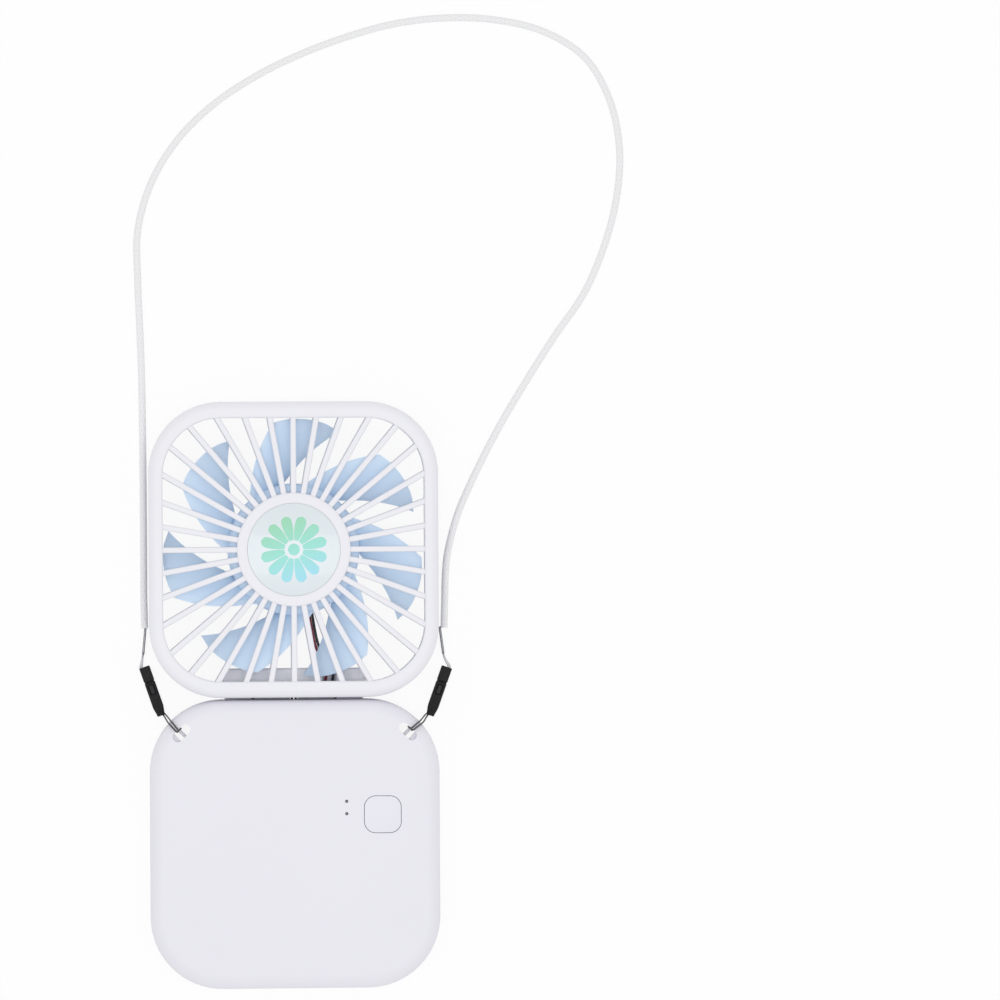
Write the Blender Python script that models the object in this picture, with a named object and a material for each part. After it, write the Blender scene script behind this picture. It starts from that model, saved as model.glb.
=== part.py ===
"""A folding neck fan, lying open on its back: a flat fan head hinged to a battery base, with a neck cord.

Metres, +Z up out of the grille, +Y from the base to the head, +X to the right.
The origin is under the middle of the open fan, on the surface that the base lies on.
"""

from math import atan2, ceil, cos, pi, radians, sin

import bmesh
import bpy
from mathutils import Vector

# Clearances and working allowances
GAP = 0.0003
OVERRUN = 0.001
EMBED = 0.0008

# The two halves
WIDTH = 0.0938
HEAD_LONG = 0.0958
BASE_LONG = 0.0934
CORNER_RADIUS = 0.0234
BASE_THICK = 0.0180
SEAM_GAP = 0.0008
CORNER_STEPS = 6
EDGE_STEPS = 4

# Fold hinge, on the back edge between the halves
BARREL_RADIUS = 0.0023
BARREL_LIFT = 0.0001
FOLD_GAP = 0.0003
PIN_RADIUS = 0.0008
KNUCKLE_SPACE = 0.0009
KNUCKLE_FROM_CORNER = 0.0010
MIDDLE_KNUCKLE_SHARE = 0.578
PIN_SHARE = 0.658
KNUCKLE_SWEEP = 0.0039
NOTCH_WALL = 0.0013
WIRE_WELL_HALF = 0.0014

# Head shells and grilles
SHELL_WALL = 0.0016
FACE_WALL = 0.0018
RIM = 0.0046
REAR_RIM = 0.0043
OPENING_SHORT = 0.0007
HEAD_FRONT_EDGE = 0.0026
HEAD_BACK_EDGE = 0.0018
HEAD_REAR_DEPTH = 0.0050
SPOKE_COUNT = 36
SPOKE_WIDTH = 0.00185
SPOKE_THICK = 0.0014
SPOKE_CHAMFER = 0.00035
SPOKE_DROP = 0.0005
RING_RADIUS = 0.0184
RING_THICK = 0.0022
RING_EDGE = 0.0004
RING_STEPS = 45
BADGE_RADIUS = 0.0150
BADGE_THICK = 0.0009
BADGE_EDGE = 0.00025
MOUNT_THICK = 0.0018
HEAD_POST_RADIUS = 0.0015
HEAD_SCREW_RADIUS = 0.0006
HEAD_SCREW_LENGTH = 0.0070
HEAD_SCREW_CAP_RADIUS = 0.0009
HEAD_SCREW_CAP = 0.0006
HEAD_SCREW_SINK = 0.0008

# Hinge boss inside the head, with the channel that leads the wires to the hinge
BOSS_DEPTH = 0.0093
BOSS_THICK = 0.0017
BOSS_LIFT = 0.0003
CHANNEL_FLOOR = 0.0004
CHANNEL_WIDTH = 0.0032
CHANNEL_RIGHT = 0.0123
CHANNEL_INSET = 0.0015
WIRE_COVER_THICK = 0.0006
WIRE_WINDOW_INSET = 0.0012

# Impeller
BLADE_COUNT = 7
HUB_RADIUS = 0.0214
BLADE_CLEAR = 0.0029
HUB_HEIGHT = 0.0065
HUB_CLEAR = 0.0007
HUB_WALL = 0.0013
HUB_EDGE = 0.0008
BLADE_THICK = 0.0010
BLADE_EDGE_SHARE = 0.4
BLADE_ROOT_SINK = 0.0005
BLADE_LOW = 0.0007
BLADE_HIGH = 0.0009
BLADE_FIRST = radians(50.0)
BLADE_CHORD = radians(33.0)
BLADE_TIP_CHORD = radians(30.5)
BLADE_SWEEP = radians(33.0)
BLADE_SWEEP_POWER = 0.70
BLADE_CAMBER_SHARE = 0.16
TIP_SHARES = (0.965, 0.99, 1.0, 1.0, 0.995, 0.98)

# Motor
MOTOR_STEPS = 24
BEARING_STEPS = 16
SHAFT_RADIUS = 0.0010
SHAFT_FOOT = 0.0004
BUSH_WALL = 0.0009
TUBE_WALL = 0.0008
TUBE_LENGTH = 0.0052
TUBE_FLOOR = 0.0008
CLIP_THICK = 0.0004
YOKE_THICK = 0.0009
MAGNET_THICK = 0.0017
MAGNET_HEIGHT = 0.0040
AIR_GAP = 0.0004
STATOR_THICK = 0.0022
STATOR_LIFT = 0.0018
TOOTH_COUNT = 6
TOOTH_WIDTH = 0.0034
TOOTH_SHOE = 0.0016
TOOTH_SHOE_SHARE = 0.8
COIL_THICK = 0.0008
STATOR_HUB_SHARE = 0.376
MOTOR_BOARD_RADIUS = 0.0165
MOTOR_BOARD_HOLE = 0.0050
MOTOR_BOARD_THICK = 0.0008

# Base shells
BASE_WALL = 0.0016
BASE_FRONT_EDGE = 0.0045
BASE_BACK_EDGE = 0.0020
BASE_REAR_DEPTH = 0.0075
SLOT_LONG = 0.0068
SLOT_WIDTH = 0.0032
SLOT_FLARE = 0.0016
SLOT_INSET = 0.0050
SLOT_WALL = 0.0012
SLOT_BAR_WIDTH = 0.0010
SLOT_BAR_THICK = 0.0012
SLOT_BAR_DROP = 0.0025
BASE_POST_RADIUS = 0.0027
BASE_SCREW_RADIUS = 0.0008
BASE_SCREW_LENGTH = 0.0090
BASE_SCREW_CAP_RADIUS = 0.0016
BASE_SCREW_CAP = 0.0010
BASE_SCREW_SINK = 0.0014
POST_FROM_SIDE = 0.0104
POST_FROM_SEAM = 0.0247
POST_FROM_END = 0.0107

# Power button, switch and lights
BUTTON_SIZE = 0.0122
BUTTON_CORNER = 0.0037
BUTTON_GROOVE = 0.00035
BUTTON_EDGE = 0.0003
BUTTON_FLANGE = 0.0011
BUTTON_FLANGE_THICK = 0.0009
BUTTON_FROM_SIDE = 0.01865
BUTTON_FROM_SEAM = 0.0371
BUTTON_STEM_RADIUS = 0.0015
BUTTON_STEM = 0.0012
PLUNGER_RADIUS = 0.0017
PLUNGER_THICK = 0.0007
PLUNGER_SPACE = 0.0005
SWITCH_SIZE = 0.0060
LIGHT_LEFT_OF_BUTTON = 0.01165
LIGHTS_ABOVE_BUTTON = (0.0043, 0.0003)
LIGHT_HOLE_RADIUS = 0.0005
LIGHT_GUIDE_WIDTH = 0.0032
LIGHT_GUIDE_MARGIN = 0.0018
LIGHT_SIZE = 0.0016
LIGHT_THICK = 0.0006

# Circuit board and charging socket
BOARD_WIDTH = 0.0195
BOARD_FROM_SIDE = 0.0144
BOARD_FROM_SEAM = 0.0297
BOARD_THICK = 0.0012
BOARD_LIFT = 0.0083
BOARD_FROM_END = 0.0042
BOARD_POST_RADIUS = 0.0019
BOARD_SCREW_INSET = 0.0023
BOARD_SCREW_LENGTH = 0.0050
BOARD_SCREW_SHARES = ((1, 0.62), (0, 0.26))
SOCKET_WIDTH = 0.0089
SOCKET_HEIGHT = 0.0032
SOCKET_LENGTH = 0.0073
SOCKET_WALL = 0.0003
SOCKET_RECESS = 0.0003
SOCKET_TONGUE_WIDTH = 0.0062
SOCKET_TONGUE_THICK = 0.0007
CHIP_SIZE = 0.0046
CHIP_THICK = 0.0012
COIL_CASE_SIZE = 0.0052
COIL_CASE_THICK = 0.0026

# Battery cell
CELL_THICK = 0.0100
CELL_EDGE = 0.0022
CELL_FROM_SIDE = 0.0159
CELL_FROM_BOARD = 0.0100
CELL_FROM_SEAM = 0.0237
CELL_FROM_END = 0.0197
PAD_MARGIN = 0.0020
PAD_THICK = 0.0006
WIRE_RADIUS = 0.00045

# Neck cord and its clips
CORD_RADIUS = 0.00115
CORD_SPACING = 0.0067
LINK_WIRE_RADIUS = 0.00032
LINK_HALF_HEIGHT = 0.00075
THREAD_RADIUS = 0.00025
LOOP_RADIUS = 0.00027
LOOP_SPACING = 0.0020
CLIP_WIDTH = 0.0035
CLIP_HEIGHT = 0.0026
CLIP_LIFT = 0.0001
CLIP_EDGE = 0.0005
CLIP_UPPER = 0.0050
CLIP_LENGTH = 0.0168
CLIP_SHOULDER = 0.0032
CLIP_TIP_WIDTH = 0.0026
CLIP_TIP_HEIGHT = 0.0018
LATCH_LENGTH = 0.0030
LATCH_WIDTH = 0.0014
LATCH_THICK = 0.0008
LATCH_TRAVEL_ROOM = 0.0004
LATCH_FROM_SEAM = 0.0010

# Heights and places worked out from the sizes above
HINGE_Z = BARREL_RADIUS + BARREL_LIFT
HEAD_BACK = 2 * HINGE_Z + FOLD_GAP
FRONT = BASE_THICK
SEAM_Y = (BASE_LONG - HEAD_LONG) / 2
HEAD_Y = SEAM_Y + SEAM_GAP / 2 + HEAD_LONG / 2
BASE_Y = SEAM_Y - SEAM_GAP / 2 - BASE_LONG / 2
HEAD_HALF = (WIDTH / 2, HEAD_LONG / 2)
OPENING_HALF = (WIDTH / 2, HEAD_LONG / 2 - OPENING_SHORT)
BASE_HALF = (WIDTH / 2, BASE_LONG / 2)
HEAD_PART = HEAD_BACK + HEAD_REAR_DEPTH
HEAD_SEAM = -HEAD_LONG / 2 - SEAM_GAP / 2
BASE_SEAM = BASE_LONG / 2 + SEAM_GAP / 2
KNUCKLE_END = WIDTH / 2 - CORNER_RADIUS - KNUCKLE_FROM_CORNER
HEAD_KNUCKLE_HALF = KNUCKLE_END * MIDDLE_KNUCKLE_SHARE
PIN_LENGTH = KNUCKLE_END * PIN_SHARE
BOSS_HALF = WIDTH / 2 - CORNER_RADIUS - GAP
TIP_RADIUS = min(WIDTH, HEAD_LONG) / 2 - SHELL_WALL - BLADE_CLEAR
BOSS_TOP = HEAD_BACK + BOSS_LIFT + BOSS_THICK
HUB_TOP = FRONT - RING_THICK - HUB_CLEAR
HUB_BOTTOM = HUB_TOP - HUB_HEIGHT
MOUNT_TOP = HEAD_BACK + MOUNT_THICK
BASE_CEILING = FRONT - FACE_WALL
BOARD_Z = BOARD_LIFT + BOARD_THICK
BOARD_BOTTOM = -BASE_LONG / 2 + BOARD_FROM_END
BOARD_TOP = BASE_LONG / 2 - BOARD_FROM_SEAM
BOARD_RIGHT = WIDTH / 2 - BOARD_FROM_SIDE
BOARD_LEFT = BOARD_RIGHT - BOARD_WIDTH
BUTTON_X = WIDTH / 2 - BUTTON_FROM_SIDE
BUTTON_Y = BASE_LONG / 2 - BUTTON_FROM_SEAM
LIGHT_X = BUTTON_X - LIGHT_LEFT_OF_BUTTON
DIAGONAL = Vector((1, 1, 0)).normalized()


def colour(red, green, blue):
    """A paint colour from its 0 to 255 values, in the linear values that a shader takes."""
    full = 255
    knee, slope, shift, power = 0.04045, 12.92, 0.055, 2.4
    values = [part / full for part in (red, green, blue)]
    return [v / slope if v <= knee else ((v + shift) / (1 + shift)) ** power for v in values] + [1]


def material(name, paint, roughness, metallic=0):
    made = bpy.data.materials.new(name)
    made.use_nodes = True
    shader = made.node_tree.nodes["Principled BSDF"]
    shader.inputs["Base Color"].default_value = paint
    shader.inputs["Roughness"].default_value = roughness
    shader.inputs["Metallic"].default_value = metallic
    made.diffuse_color = paint
    return made


# Outlines: lists of points round a shape, counter-clockwise


def circle(radius, steps, centre=(0, 0)):
    angles = [2 * pi * k / steps for k in range(steps)]
    return [(centre[0] + radius * cos(a), centre[1] + radius * sin(a)) for a in angles]


def rectangle(half_x, half_y, centre=(0, 0)):
    x, y = centre
    return [(x + sx * half_x, y + sy * half_y) for sx, sy in ((1, 1), (-1, 1), (-1, -1), (1, -1))]


def rounded(half, radius, centre=(0, 0), steps=CORNER_STEPS):
    """A rectangle with round corners."""
    points = []
    for quarter, (sx, sy) in enumerate(((1, 1), (-1, 1), (-1, -1), (1, -1))):
        x = centre[0] + sx * (half[0] - radius)
        y = centre[1] + sy * (half[1] - radius)
        for k in range(steps + 1):
            angle = (quarter + k / steps) * pi / 2
            points.append((x + radius * cos(angle), y + radius * sin(angle)))
    return points


def inset_outline(half, inset):
    """The outline of a half of the fan, moved in by inset."""
    return rounded((half[0] - inset, half[1] - inset), CORNER_RADIUS - inset)


def at_height(outline, z):
    return [Vector((x, y, z)) for x, y in outline]


def edge_arc(face, radius, side, start=0, steps=EDGE_STEPS):
    """(inset, height) points of a round edge, from the wall to the face; side 1 is up and -1 is down."""
    angles = [pi / 2 * k / steps for k in range(steps + 1)]
    return [(start + radius * (1 - cos(a)), face - side * radius * (1 - sin(a))) for a in angles]


# Closed solids, added to a bmesh


def add_loft(bm, loops, ring=False):
    """Skins a list of equal loops of points; ring joins the last to the first instead of capping both."""
    rows = [[bm.verts.new(point) for point in loop] for loop in loops]
    pairs = list(zip(rows, rows[1:]))
    if ring:
        pairs.append((rows[-1], rows[0]))
    for low, high in pairs:
        count = len(low)
        for k in range(count):
            bm.faces.new((low[k], low[(k + 1) % count], high[(k + 1) % count], high[k]))
    if not ring:
        bm.faces.new(list(reversed(rows[0])))
        bm.faces.new(rows[-1])


def add_prism(bm, outline, low, high):
    add_loft(bm, [at_height(outline, low), at_height(outline, high)])


def add_box(bm, low, high):
    centre = ((low[0] + high[0]) / 2, (low[1] + high[1]) / 2)
    add_prism(bm, rectangle((high[0] - low[0]) / 2, (high[1] - low[1]) / 2, centre), low[2], high[2])


def add_turned(bm, profile, steps, centre=(0, 0)):
    """Turns a closed (radius, height) profile, each radius over zero, about a vertical axis."""
    add_loft(bm, [at_height(circle(radius, steps, centre), z) for radius, z in profile], ring=True)


def add_disc(bm, profile, steps, centre=(0, 0)):
    """Turns an open (radius, height) profile and caps both of its ends."""
    add_loft(bm, [at_height(circle(radius, steps, centre), z) for radius, z in profile])


def add_rod(bm, start, end, radius, steps):
    """A round rod between two points."""
    start, end = Vector(start), Vector(end)
    turn = (end - start).to_track_quat("Z", "Y")
    ring = [turn @ Vector((x, y, 0)) for x, y in circle(radius, steps)]
    add_loft(bm, [[start + point for point in ring], [end + point for point in ring]])


# Objects


def place(obj, parent, at):
    bpy.context.scene.collection.objects.link(obj)
    obj.parent = parent
    obj.location = at
    return obj


def empty(name, at, parent=None):
    return place(bpy.data.objects.new(name, None), parent, at)


def mesh_of(name, bm):
    bmesh.ops.recalc_face_normals(bm, faces=bm.faces[:])
    mesh = bpy.data.meshes.new(name)
    bm.to_mesh(mesh)
    bm.free()
    return mesh


def piece(name, bm, look, parent=None, at=(0, 0, 0), sharp=radians(35)):
    """A piece of the fan, shaded smooth with its real edges kept sharp."""
    mesh = mesh_of(name, bm)
    mesh.shade_smooth()
    mesh.set_sharp_from_angle(angle=sharp)
    mesh.materials.append(look)
    return place(bpy.data.objects.new(name, mesh), parent, at)


def shape_with(target, bm, operation):
    """Joins shapes to a piece, or cuts them out of it, with a guide that isn't rendered."""
    name = f"{target.name}_{operation.lower()}_{len(target.modifiers)}"
    guide = place(bpy.data.objects.new(name, mesh_of(name, bm)), target.parent, target.location)
    guide.hide_render = True
    guide.display_type = "WIRE"
    modifier = target.modifiers.new(operation.title(), "BOOLEAN")
    modifier.operation = operation
    modifier.solver = "EXACT"
    modifier.object = guide


def smooth_route(points, spacing):
    """Points about a spacing apart on a smooth curve through the route's own points."""
    points = [Vector(p) for p in points]
    ends = [2 * points[0] - points[1]] + points + [2 * points[-1] - points[-2]]
    fine = 24
    dense = []
    for a, b, c, d in zip(ends, ends[1:], ends[2:], ends[3:]):
        for k in range(fine):
            t = k / fine
            pull = (c - a) * t + (2 * a - 5 * b + 4 * c - d) * t**2 + (3 * b - a - 3 * c + d) * t**3
            dense.append(b + pull / 2)
    dense.append(points[-1])
    along = [0]
    for a, b in zip(dense, dense[1:]):
        along.append(along[-1] + (b - a).length)
    count = max(2, ceil(along[-1] / spacing))
    route, here = [], 0
    for k in range(count + 1):
        wanted = along[-1] * k / count
        while here < len(along) - 2 and along[here + 1] < wanted:
            here += 1
        step = along[here + 1] - along[here]
        share = (wanted - along[here]) / step if step else 0
        route.append(dense[here].lerp(dense[here + 1], min(share, 1)))
    return route


def tube(name, points, radius, look, parent=None, spacing=None, closed=False):
    """A cord or wire along its route."""
    route = points if closed else smooth_route(points, spacing or radius * 5)
    data = bpy.data.curves.new(name, "CURVE")
    data.dimensions = "3D"
    data.bevel_depth = radius
    data.bevel_resolution = 2
    data.use_fill_caps = True
    spline = data.splines.new("POLY")
    spline.points.add(len(route) - 1)
    for target, point in zip(spline.points, route):
        target.co = (*point, 1)
    spline.use_cyclic_u = closed
    data.materials.append(look)
    return place(bpy.data.objects.new(name, data), parent, (0, 0, 0))


# Head


def opening_reach(half, inset, angle):
    """How far the rounded square opening lies from its centre in a direction."""
    x, y = abs(cos(angle)), abs(sin(angle))
    across, up, radius = half[0] - inset, half[1] - inset, CORNER_RADIUS - inset
    flat_x, flat_y = across - radius, up - radius
    if across * y <= flat_y * x:
        return across / x
    if up * x <= flat_x * y:
        return up / y
    middle = flat_x * x + flat_y * y
    return middle + (middle**2 - flat_x**2 - flat_y**2 + radius**2) ** 0.5


def add_spokes(bm, rim, low, high, chamfer=0):
    """The straight spokes of a grille, from the hub ring into the rim, with chamfered top edges if asked."""
    half = SPOKE_WIDTH / 2
    inner = RING_RADIUS - EMBED
    section = [(-half, low), (half, low), (half, high - chamfer)]
    if chamfer:
        section += [(half - chamfer, high), (chamfer - half, high)]
    section.append((-half, high - chamfer))
    for k in range(SPOKE_COUNT):
        angle = 2 * pi * k / SPOKE_COUNT
        reach = opening_reach(OPENING_HALF, rim, angle) + EMBED + SPOKE_WIDTH / 4
        out = Vector((cos(angle), sin(angle), 0))
        side = Vector((-sin(angle), cos(angle), 0))
        up = Vector((0, 0, 1))
        add_loft(bm, [[out * r + side * s + up * z for s, z in section] for r in (inner, reach)])


def corner_spots(half, from_edge):
    """The four places on the corner diagonals, at a distance in from the outline."""
    reach = (CORNER_RADIUS - from_edge) * DIAGONAL.x
    x, y = half[0] - CORNER_RADIUS + reach, half[1] - CORNER_RADIUS + reach
    return [(sx * x, sy * y) for sx in (-1, 1) for sy in (-1, 1)]


def head_screw_spots():
    return corner_spots(HEAD_HALF, SHELL_WALL + HEAD_POST_RADIUS)


def shell_rim(bm, outside, opening, inside):
    """A shell's rim. Its wall follows the head's outline, and its edge inside follows the opening."""
    loops = [at_height(inset_outline(HEAD_HALF, inset), z) for inset, z in outside]
    loops += [at_height(inset_outline(OPENING_HALF, inset), z) for inset, z in opening]
    loops += [at_height(inset_outline(HEAD_HALF, inset), z) for inset, z in inside]
    add_loft(bm, loops, ring=True)


def make_front_grille(look, parent):
    """The front shell: a soft-edged rim with its side wall, the spokes and the ring that holds the badge."""
    low = HEAD_PART + GAP / 2
    lip = FRONT - FACE_WALL
    bm = bmesh.new()
    outside = [(0, low)] + edge_arc(FRONT, HEAD_FRONT_EDGE, 1)
    opening = [(RIM - RING_EDGE, FRONT), (RIM, FRONT - RING_EDGE), (RIM, lip)]
    shell_rim(bm, outside, opening, [(SHELL_WALL, lip), (SHELL_WALL, low)])
    shell = piece("front_grille", bm, look, parent)
    bm = bmesh.new()
    add_spokes(bm, RIM, FRONT - SPOKE_DROP - SPOKE_THICK, FRONT - SPOKE_DROP, SPOKE_CHAMFER)
    shape_with(shell, bm, "UNION")
    bm = bmesh.new()
    for spot in head_screw_spots():
        add_prism(bm, circle(HEAD_POST_RADIUS, 10, spot), low, lip + EMBED)
    shape_with(shell, bm, "UNION")
    bm = bmesh.new()
    seat, floor = BADGE_RADIUS + GAP, FRONT - BADGE_THICK - GAP
    disc = [(RING_RADIUS, FRONT - RING_THICK), (RING_RADIUS, FRONT - RING_EDGE)]
    disc += [(RING_RADIUS - RING_EDGE, FRONT), (seat + RING_EDGE, FRONT)]
    disc += [(seat, FRONT - RING_EDGE), (seat, floor)]
    add_disc(bm, disc, RING_STEPS)
    shape_with(shell, bm, "UNION")
    bm = bmesh.new()
    for spot in head_screw_spots():
        add_prism(bm, circle(HEAD_SCREW_RADIUS + GAP, 10, spot), low - OVERRUN, lip)
    shape_with(shell, bm, "DIFFERENCE")
    return shell


def make_badge(look, parent):
    bm = bmesh.new()
    low = FRONT - BADGE_THICK
    profile = [(BADGE_RADIUS, low), (BADGE_RADIUS, FRONT - BADGE_EDGE), (BADGE_RADIUS - BADGE_EDGE, FRONT)]
    add_disc(bm, profile, RING_STEPS)
    return piece("centre_badge", bm, look, parent)


def channel_outline():
    """The wire channel in the hinge boss: in from the boss edge, then along to the middle of the hinge."""
    edge = -HEAD_LONG / 2 + BOSS_DEPTH + OVERRUN
    low = -HEAD_LONG / 2 + CHANNEL_INSET
    left = CHANNEL_RIGHT - CHANNEL_WIDTH
    turn = low + CHANNEL_WIDTH
    end = -WIRE_WELL_HALF
    return [(end, low), (CHANNEL_RIGHT, low), (CHANNEL_RIGHT, edge), (left, edge), (left, turn), (end, turn)]


def make_rear_grille(look, parent):
    """The rear shell: rim, spokes, motor plate, and the boss and middle knuckle of the hinge."""
    high = HEAD_PART - GAP / 2
    lip = HEAD_BACK + SHELL_WALL
    bm = bmesh.new()
    outside = [(0, high)] + edge_arc(HEAD_BACK, HEAD_BACK_EDGE, -1, steps=3)
    opening = [(REAR_RIM, HEAD_BACK), (REAR_RIM, lip)]
    shell_rim(bm, outside, opening, [(SHELL_WALL, lip), (SHELL_WALL, high)])
    shell = piece("rear_grille", bm, look, parent)
    bm = bmesh.new()
    add_spokes(bm, REAR_RIM, HEAD_BACK + SPOKE_DROP, HEAD_BACK + SPOKE_DROP + SPOKE_THICK)
    shape_with(shell, bm, "UNION")
    bm = bmesh.new()
    for spot in head_screw_spots():
        add_prism(bm, circle(HEAD_POST_RADIUS, 10, spot), lip - EMBED, high)
    shape_with(shell, bm, "UNION")
    bm = bmesh.new()
    inner_edge = -HEAD_LONG / 2 + BOSS_DEPTH
    boss_low = (-BOSS_HALF, -HEAD_LONG / 2 + EMBED, HEAD_BACK + BOSS_LIFT)
    add_box(bm, boss_low, (BOSS_HALF, inner_edge, BOSS_TOP))
    shape_with(shell, bm, "UNION")
    bm = bmesh.new()
    tube_radius = SHAFT_RADIUS + 2 * GAP + BUSH_WALL + TUBE_WALL
    seat = tube_radius + GAP
    disc = [(RING_RADIUS, HEAD_BACK), (RING_RADIUS, MOUNT_TOP)]
    disc += [(seat, MOUNT_TOP), (seat, HEAD_BACK + TUBE_FLOOR)]
    add_disc(bm, disc, RING_STEPS)
    shape_with(shell, bm, "UNION")
    bm = bmesh.new()
    end = HEAD_KNUCKLE_HALF
    add_rod(bm, (-end, HEAD_SEAM, HINGE_Z), (end, HEAD_SEAM, HINGE_Z), BARREL_RADIUS, 16)
    shape_with(shell, bm, "UNION")
    bm = bmesh.new()
    web_back = HEAD_SEAM + GAP
    web_side = HEAD_SEAM + BARREL_RADIUS
    web_end = HEAD_KNUCKLE_HALF - GAP
    add_box(bm, (-web_end, web_back, HINGE_Z), (web_end, web_side, HEAD_BACK + BOSS_LIFT + EMBED))
    shape_with(shell, bm, "UNION")
    bm = bmesh.new()
    end = HEAD_KNUCKLE_HALF + OVERRUN
    add_rod(bm, (-end, HEAD_SEAM, HINGE_Z), (end, HEAD_SEAM, HINGE_Z), PIN_RADIUS + GAP, 12)
    shape_with(shell, bm, "DIFFERENCE")
    bm = bmesh.new()
    well = -HEAD_LONG / 2 + CHANNEL_INSET + CHANNEL_WIDTH / 2
    low = (-WIRE_WELL_HALF, HEAD_SEAM - BARREL_RADIUS - OVERRUN, -OVERRUN)
    add_box(bm, low, (WIRE_WELL_HALF, well, HEAD_BACK + BOSS_LIFT + CHANNEL_FLOOR + OVERRUN / 2))
    shape_with(shell, bm, "DIFFERENCE")
    bm = bmesh.new()
    add_prism(bm, channel_outline(), HEAD_BACK + BOSS_LIFT + CHANNEL_FLOOR, BOSS_TOP + OVERRUN)
    shape_with(shell, bm, "DIFFERENCE")
    bm = bmesh.new()
    for spot in head_screw_spots():
        sink = HEAD_BACK + HEAD_SCREW_SINK
        cap, hole = HEAD_SCREW_CAP_RADIUS + GAP, HEAD_SCREW_RADIUS + GAP
        profile = [(cap, HEAD_BACK - OVERRUN), (cap, sink), (hole, sink), (hole, high + OVERRUN)]
        add_disc(bm, profile, 12, spot)
    shape_with(shell, bm, "DIFFERENCE")
    return shell


def make_wire_cover(look, parent):
    """The plate that closes the wire channel, with a window where the wires go in."""
    wall = -HEAD_LONG / 2 + SHELL_WALL + GAP
    edge = -HEAD_LONG / 2 + BOSS_DEPTH - GAP
    half = BOSS_HALF - GAP
    right, left = CHANNEL_RIGHT, CHANNEL_RIGHT - CHANNEL_WIDTH
    top = edge - WIRE_WINDOW_INSET
    bottom = top - CHANNEL_WIDTH
    low, high = BOSS_TOP + GAP, BOSS_TOP + GAP + WIRE_COVER_THICK
    bm = bmesh.new()
    add_box(bm, (-half, wall, low), (half, edge, high))
    plate = piece("wire_cover", bm, look, parent)
    bm = bmesh.new()
    add_box(bm, (left, bottom, low - OVERRUN), (right, top, high + OVERRUN))
    shape_with(plate, bm, "DIFFERENCE")
    return plate


def make_screws(name, spots, foot, sizes, look, parent, up=True):
    """Pan-head screws that share one mesh, standing on their heads (up) or driven downwards."""
    cap_radius, cap, radius, length = sizes
    way = 1 if up else -1
    profile = [
        (cap_radius, 0),
        (cap_radius, way * cap),
        (radius, way * cap),
        (radius, way * (cap + length)),
    ]
    bm = bmesh.new()
    add_disc(bm, profile, 10)
    first, *others = spots
    screw = piece(f"{name}_1", bm, look, parent, (*first, foot))
    for k, spot in enumerate(others):
        place(bpy.data.objects.new(f"{name}_{k + 2}", screw.data), parent, (*spot, foot))


def make_head_screws(look, parent):
    foot = HEAD_BACK + HEAD_SCREW_SINK - HEAD_SCREW_CAP - GAP
    sizes = (HEAD_SCREW_CAP_RADIUS, HEAD_SCREW_CAP, HEAD_SCREW_RADIUS, HEAD_SCREW_LENGTH)
    make_screws("head_screw", head_screw_spots(), foot, sizes, look, parent)


# Impeller: the chord runs from the leading edge, which is deepest, to the trailing edge


def blade_point(first, u, v, lift):
    """A point of a blade: u from root to tip, v from leading to trailing edge, lift across its thickness."""
    tip_spot = v * (len(TIP_SHARES) - 1)
    k = min(int(tip_spot), len(TIP_SHARES) - 2)
    share = TIP_SHARES[k] + (TIP_SHARES[k + 1] - TIP_SHARES[k]) * (tip_spot - k)
    root = HUB_RADIUS - BLADE_ROOT_SINK
    radius = root + (TIP_RADIUS * share - root) * u
    chord = BLADE_CHORD + (BLADE_TIP_CHORD - BLADE_CHORD) * u
    angle = first - BLADE_SWEEP * u**BLADE_SWEEP_POWER + chord * v
    low, high = HUB_BOTTOM + BLADE_LOW, HUB_TOP - BLADE_HIGH
    camber = BLADE_CAMBER_SHARE * (high - low) * 4 * v * (1 - v)
    return Vector((radius * cos(angle), radius * sin(angle), low + (high - low) * v + camber + lift))


def add_blade(bm, first):
    """One swept blade: a loft of closed sections from the hub to the tip."""
    stations, chord_steps = 5, 6
    chord = [k / (chord_steps - 1) for k in range(chord_steps)]
    half = BLADE_THICK / 2
    loops = []
    for station in range(stations + 1):
        u = station / stations
        halves = [half if 0 < v < 1 else half * BLADE_EDGE_SHARE for v in chord]
        under = [blade_point(first, u, v, -thin) for v, thin in zip(chord, halves)]
        over = [blade_point(first, u, v, thin) for v, thin in zip(reversed(chord), reversed(halves))]
        loops.append(under + over)
    add_loft(bm, loops)


def make_impeller(look, parent):
    """The hub cup, open to the rear over the motor, with seven swept and pitched blades."""
    bm = bmesh.new()
    inner = HUB_RADIUS - HUB_WALL
    bore = SHAFT_RADIUS + GAP
    boss = 3 * SHAFT_RADIUS
    ceiling = HUB_TOP - HUB_WALL
    boss_low = ceiling - 2 * SHAFT_RADIUS
    profile = [
        (HUB_RADIUS - HUB_EDGE, HUB_TOP),
        (HUB_RADIUS, HUB_TOP - HUB_EDGE),
        (HUB_RADIUS, HUB_BOTTOM),
        (inner, HUB_BOTTOM),
        (inner, ceiling),
        (boss, ceiling),
        (boss, boss_low),
        (bore, boss_low),
        (bore, ceiling + GAP),
    ]
    add_disc(bm, profile, 5 * BLADE_COUNT)
    rotor = piece("impeller", bm, look, parent)
    bm = bmesh.new()
    for k in range(BLADE_COUNT):
        add_blade(bm, BLADE_FIRST + 2 * pi * k / BLADE_COUNT)
    shape_with(rotor, bm, "UNION")
    return rotor


# Motor: a steel yoke and magnet turn with the hub round a fixed wound core


def bearing_radii():
    bush_in = SHAFT_RADIUS + GAP
    bush_out = bush_in + BUSH_WALL
    return bush_in, bush_out, bush_out + GAP, bush_out + GAP + TUBE_WALL


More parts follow.
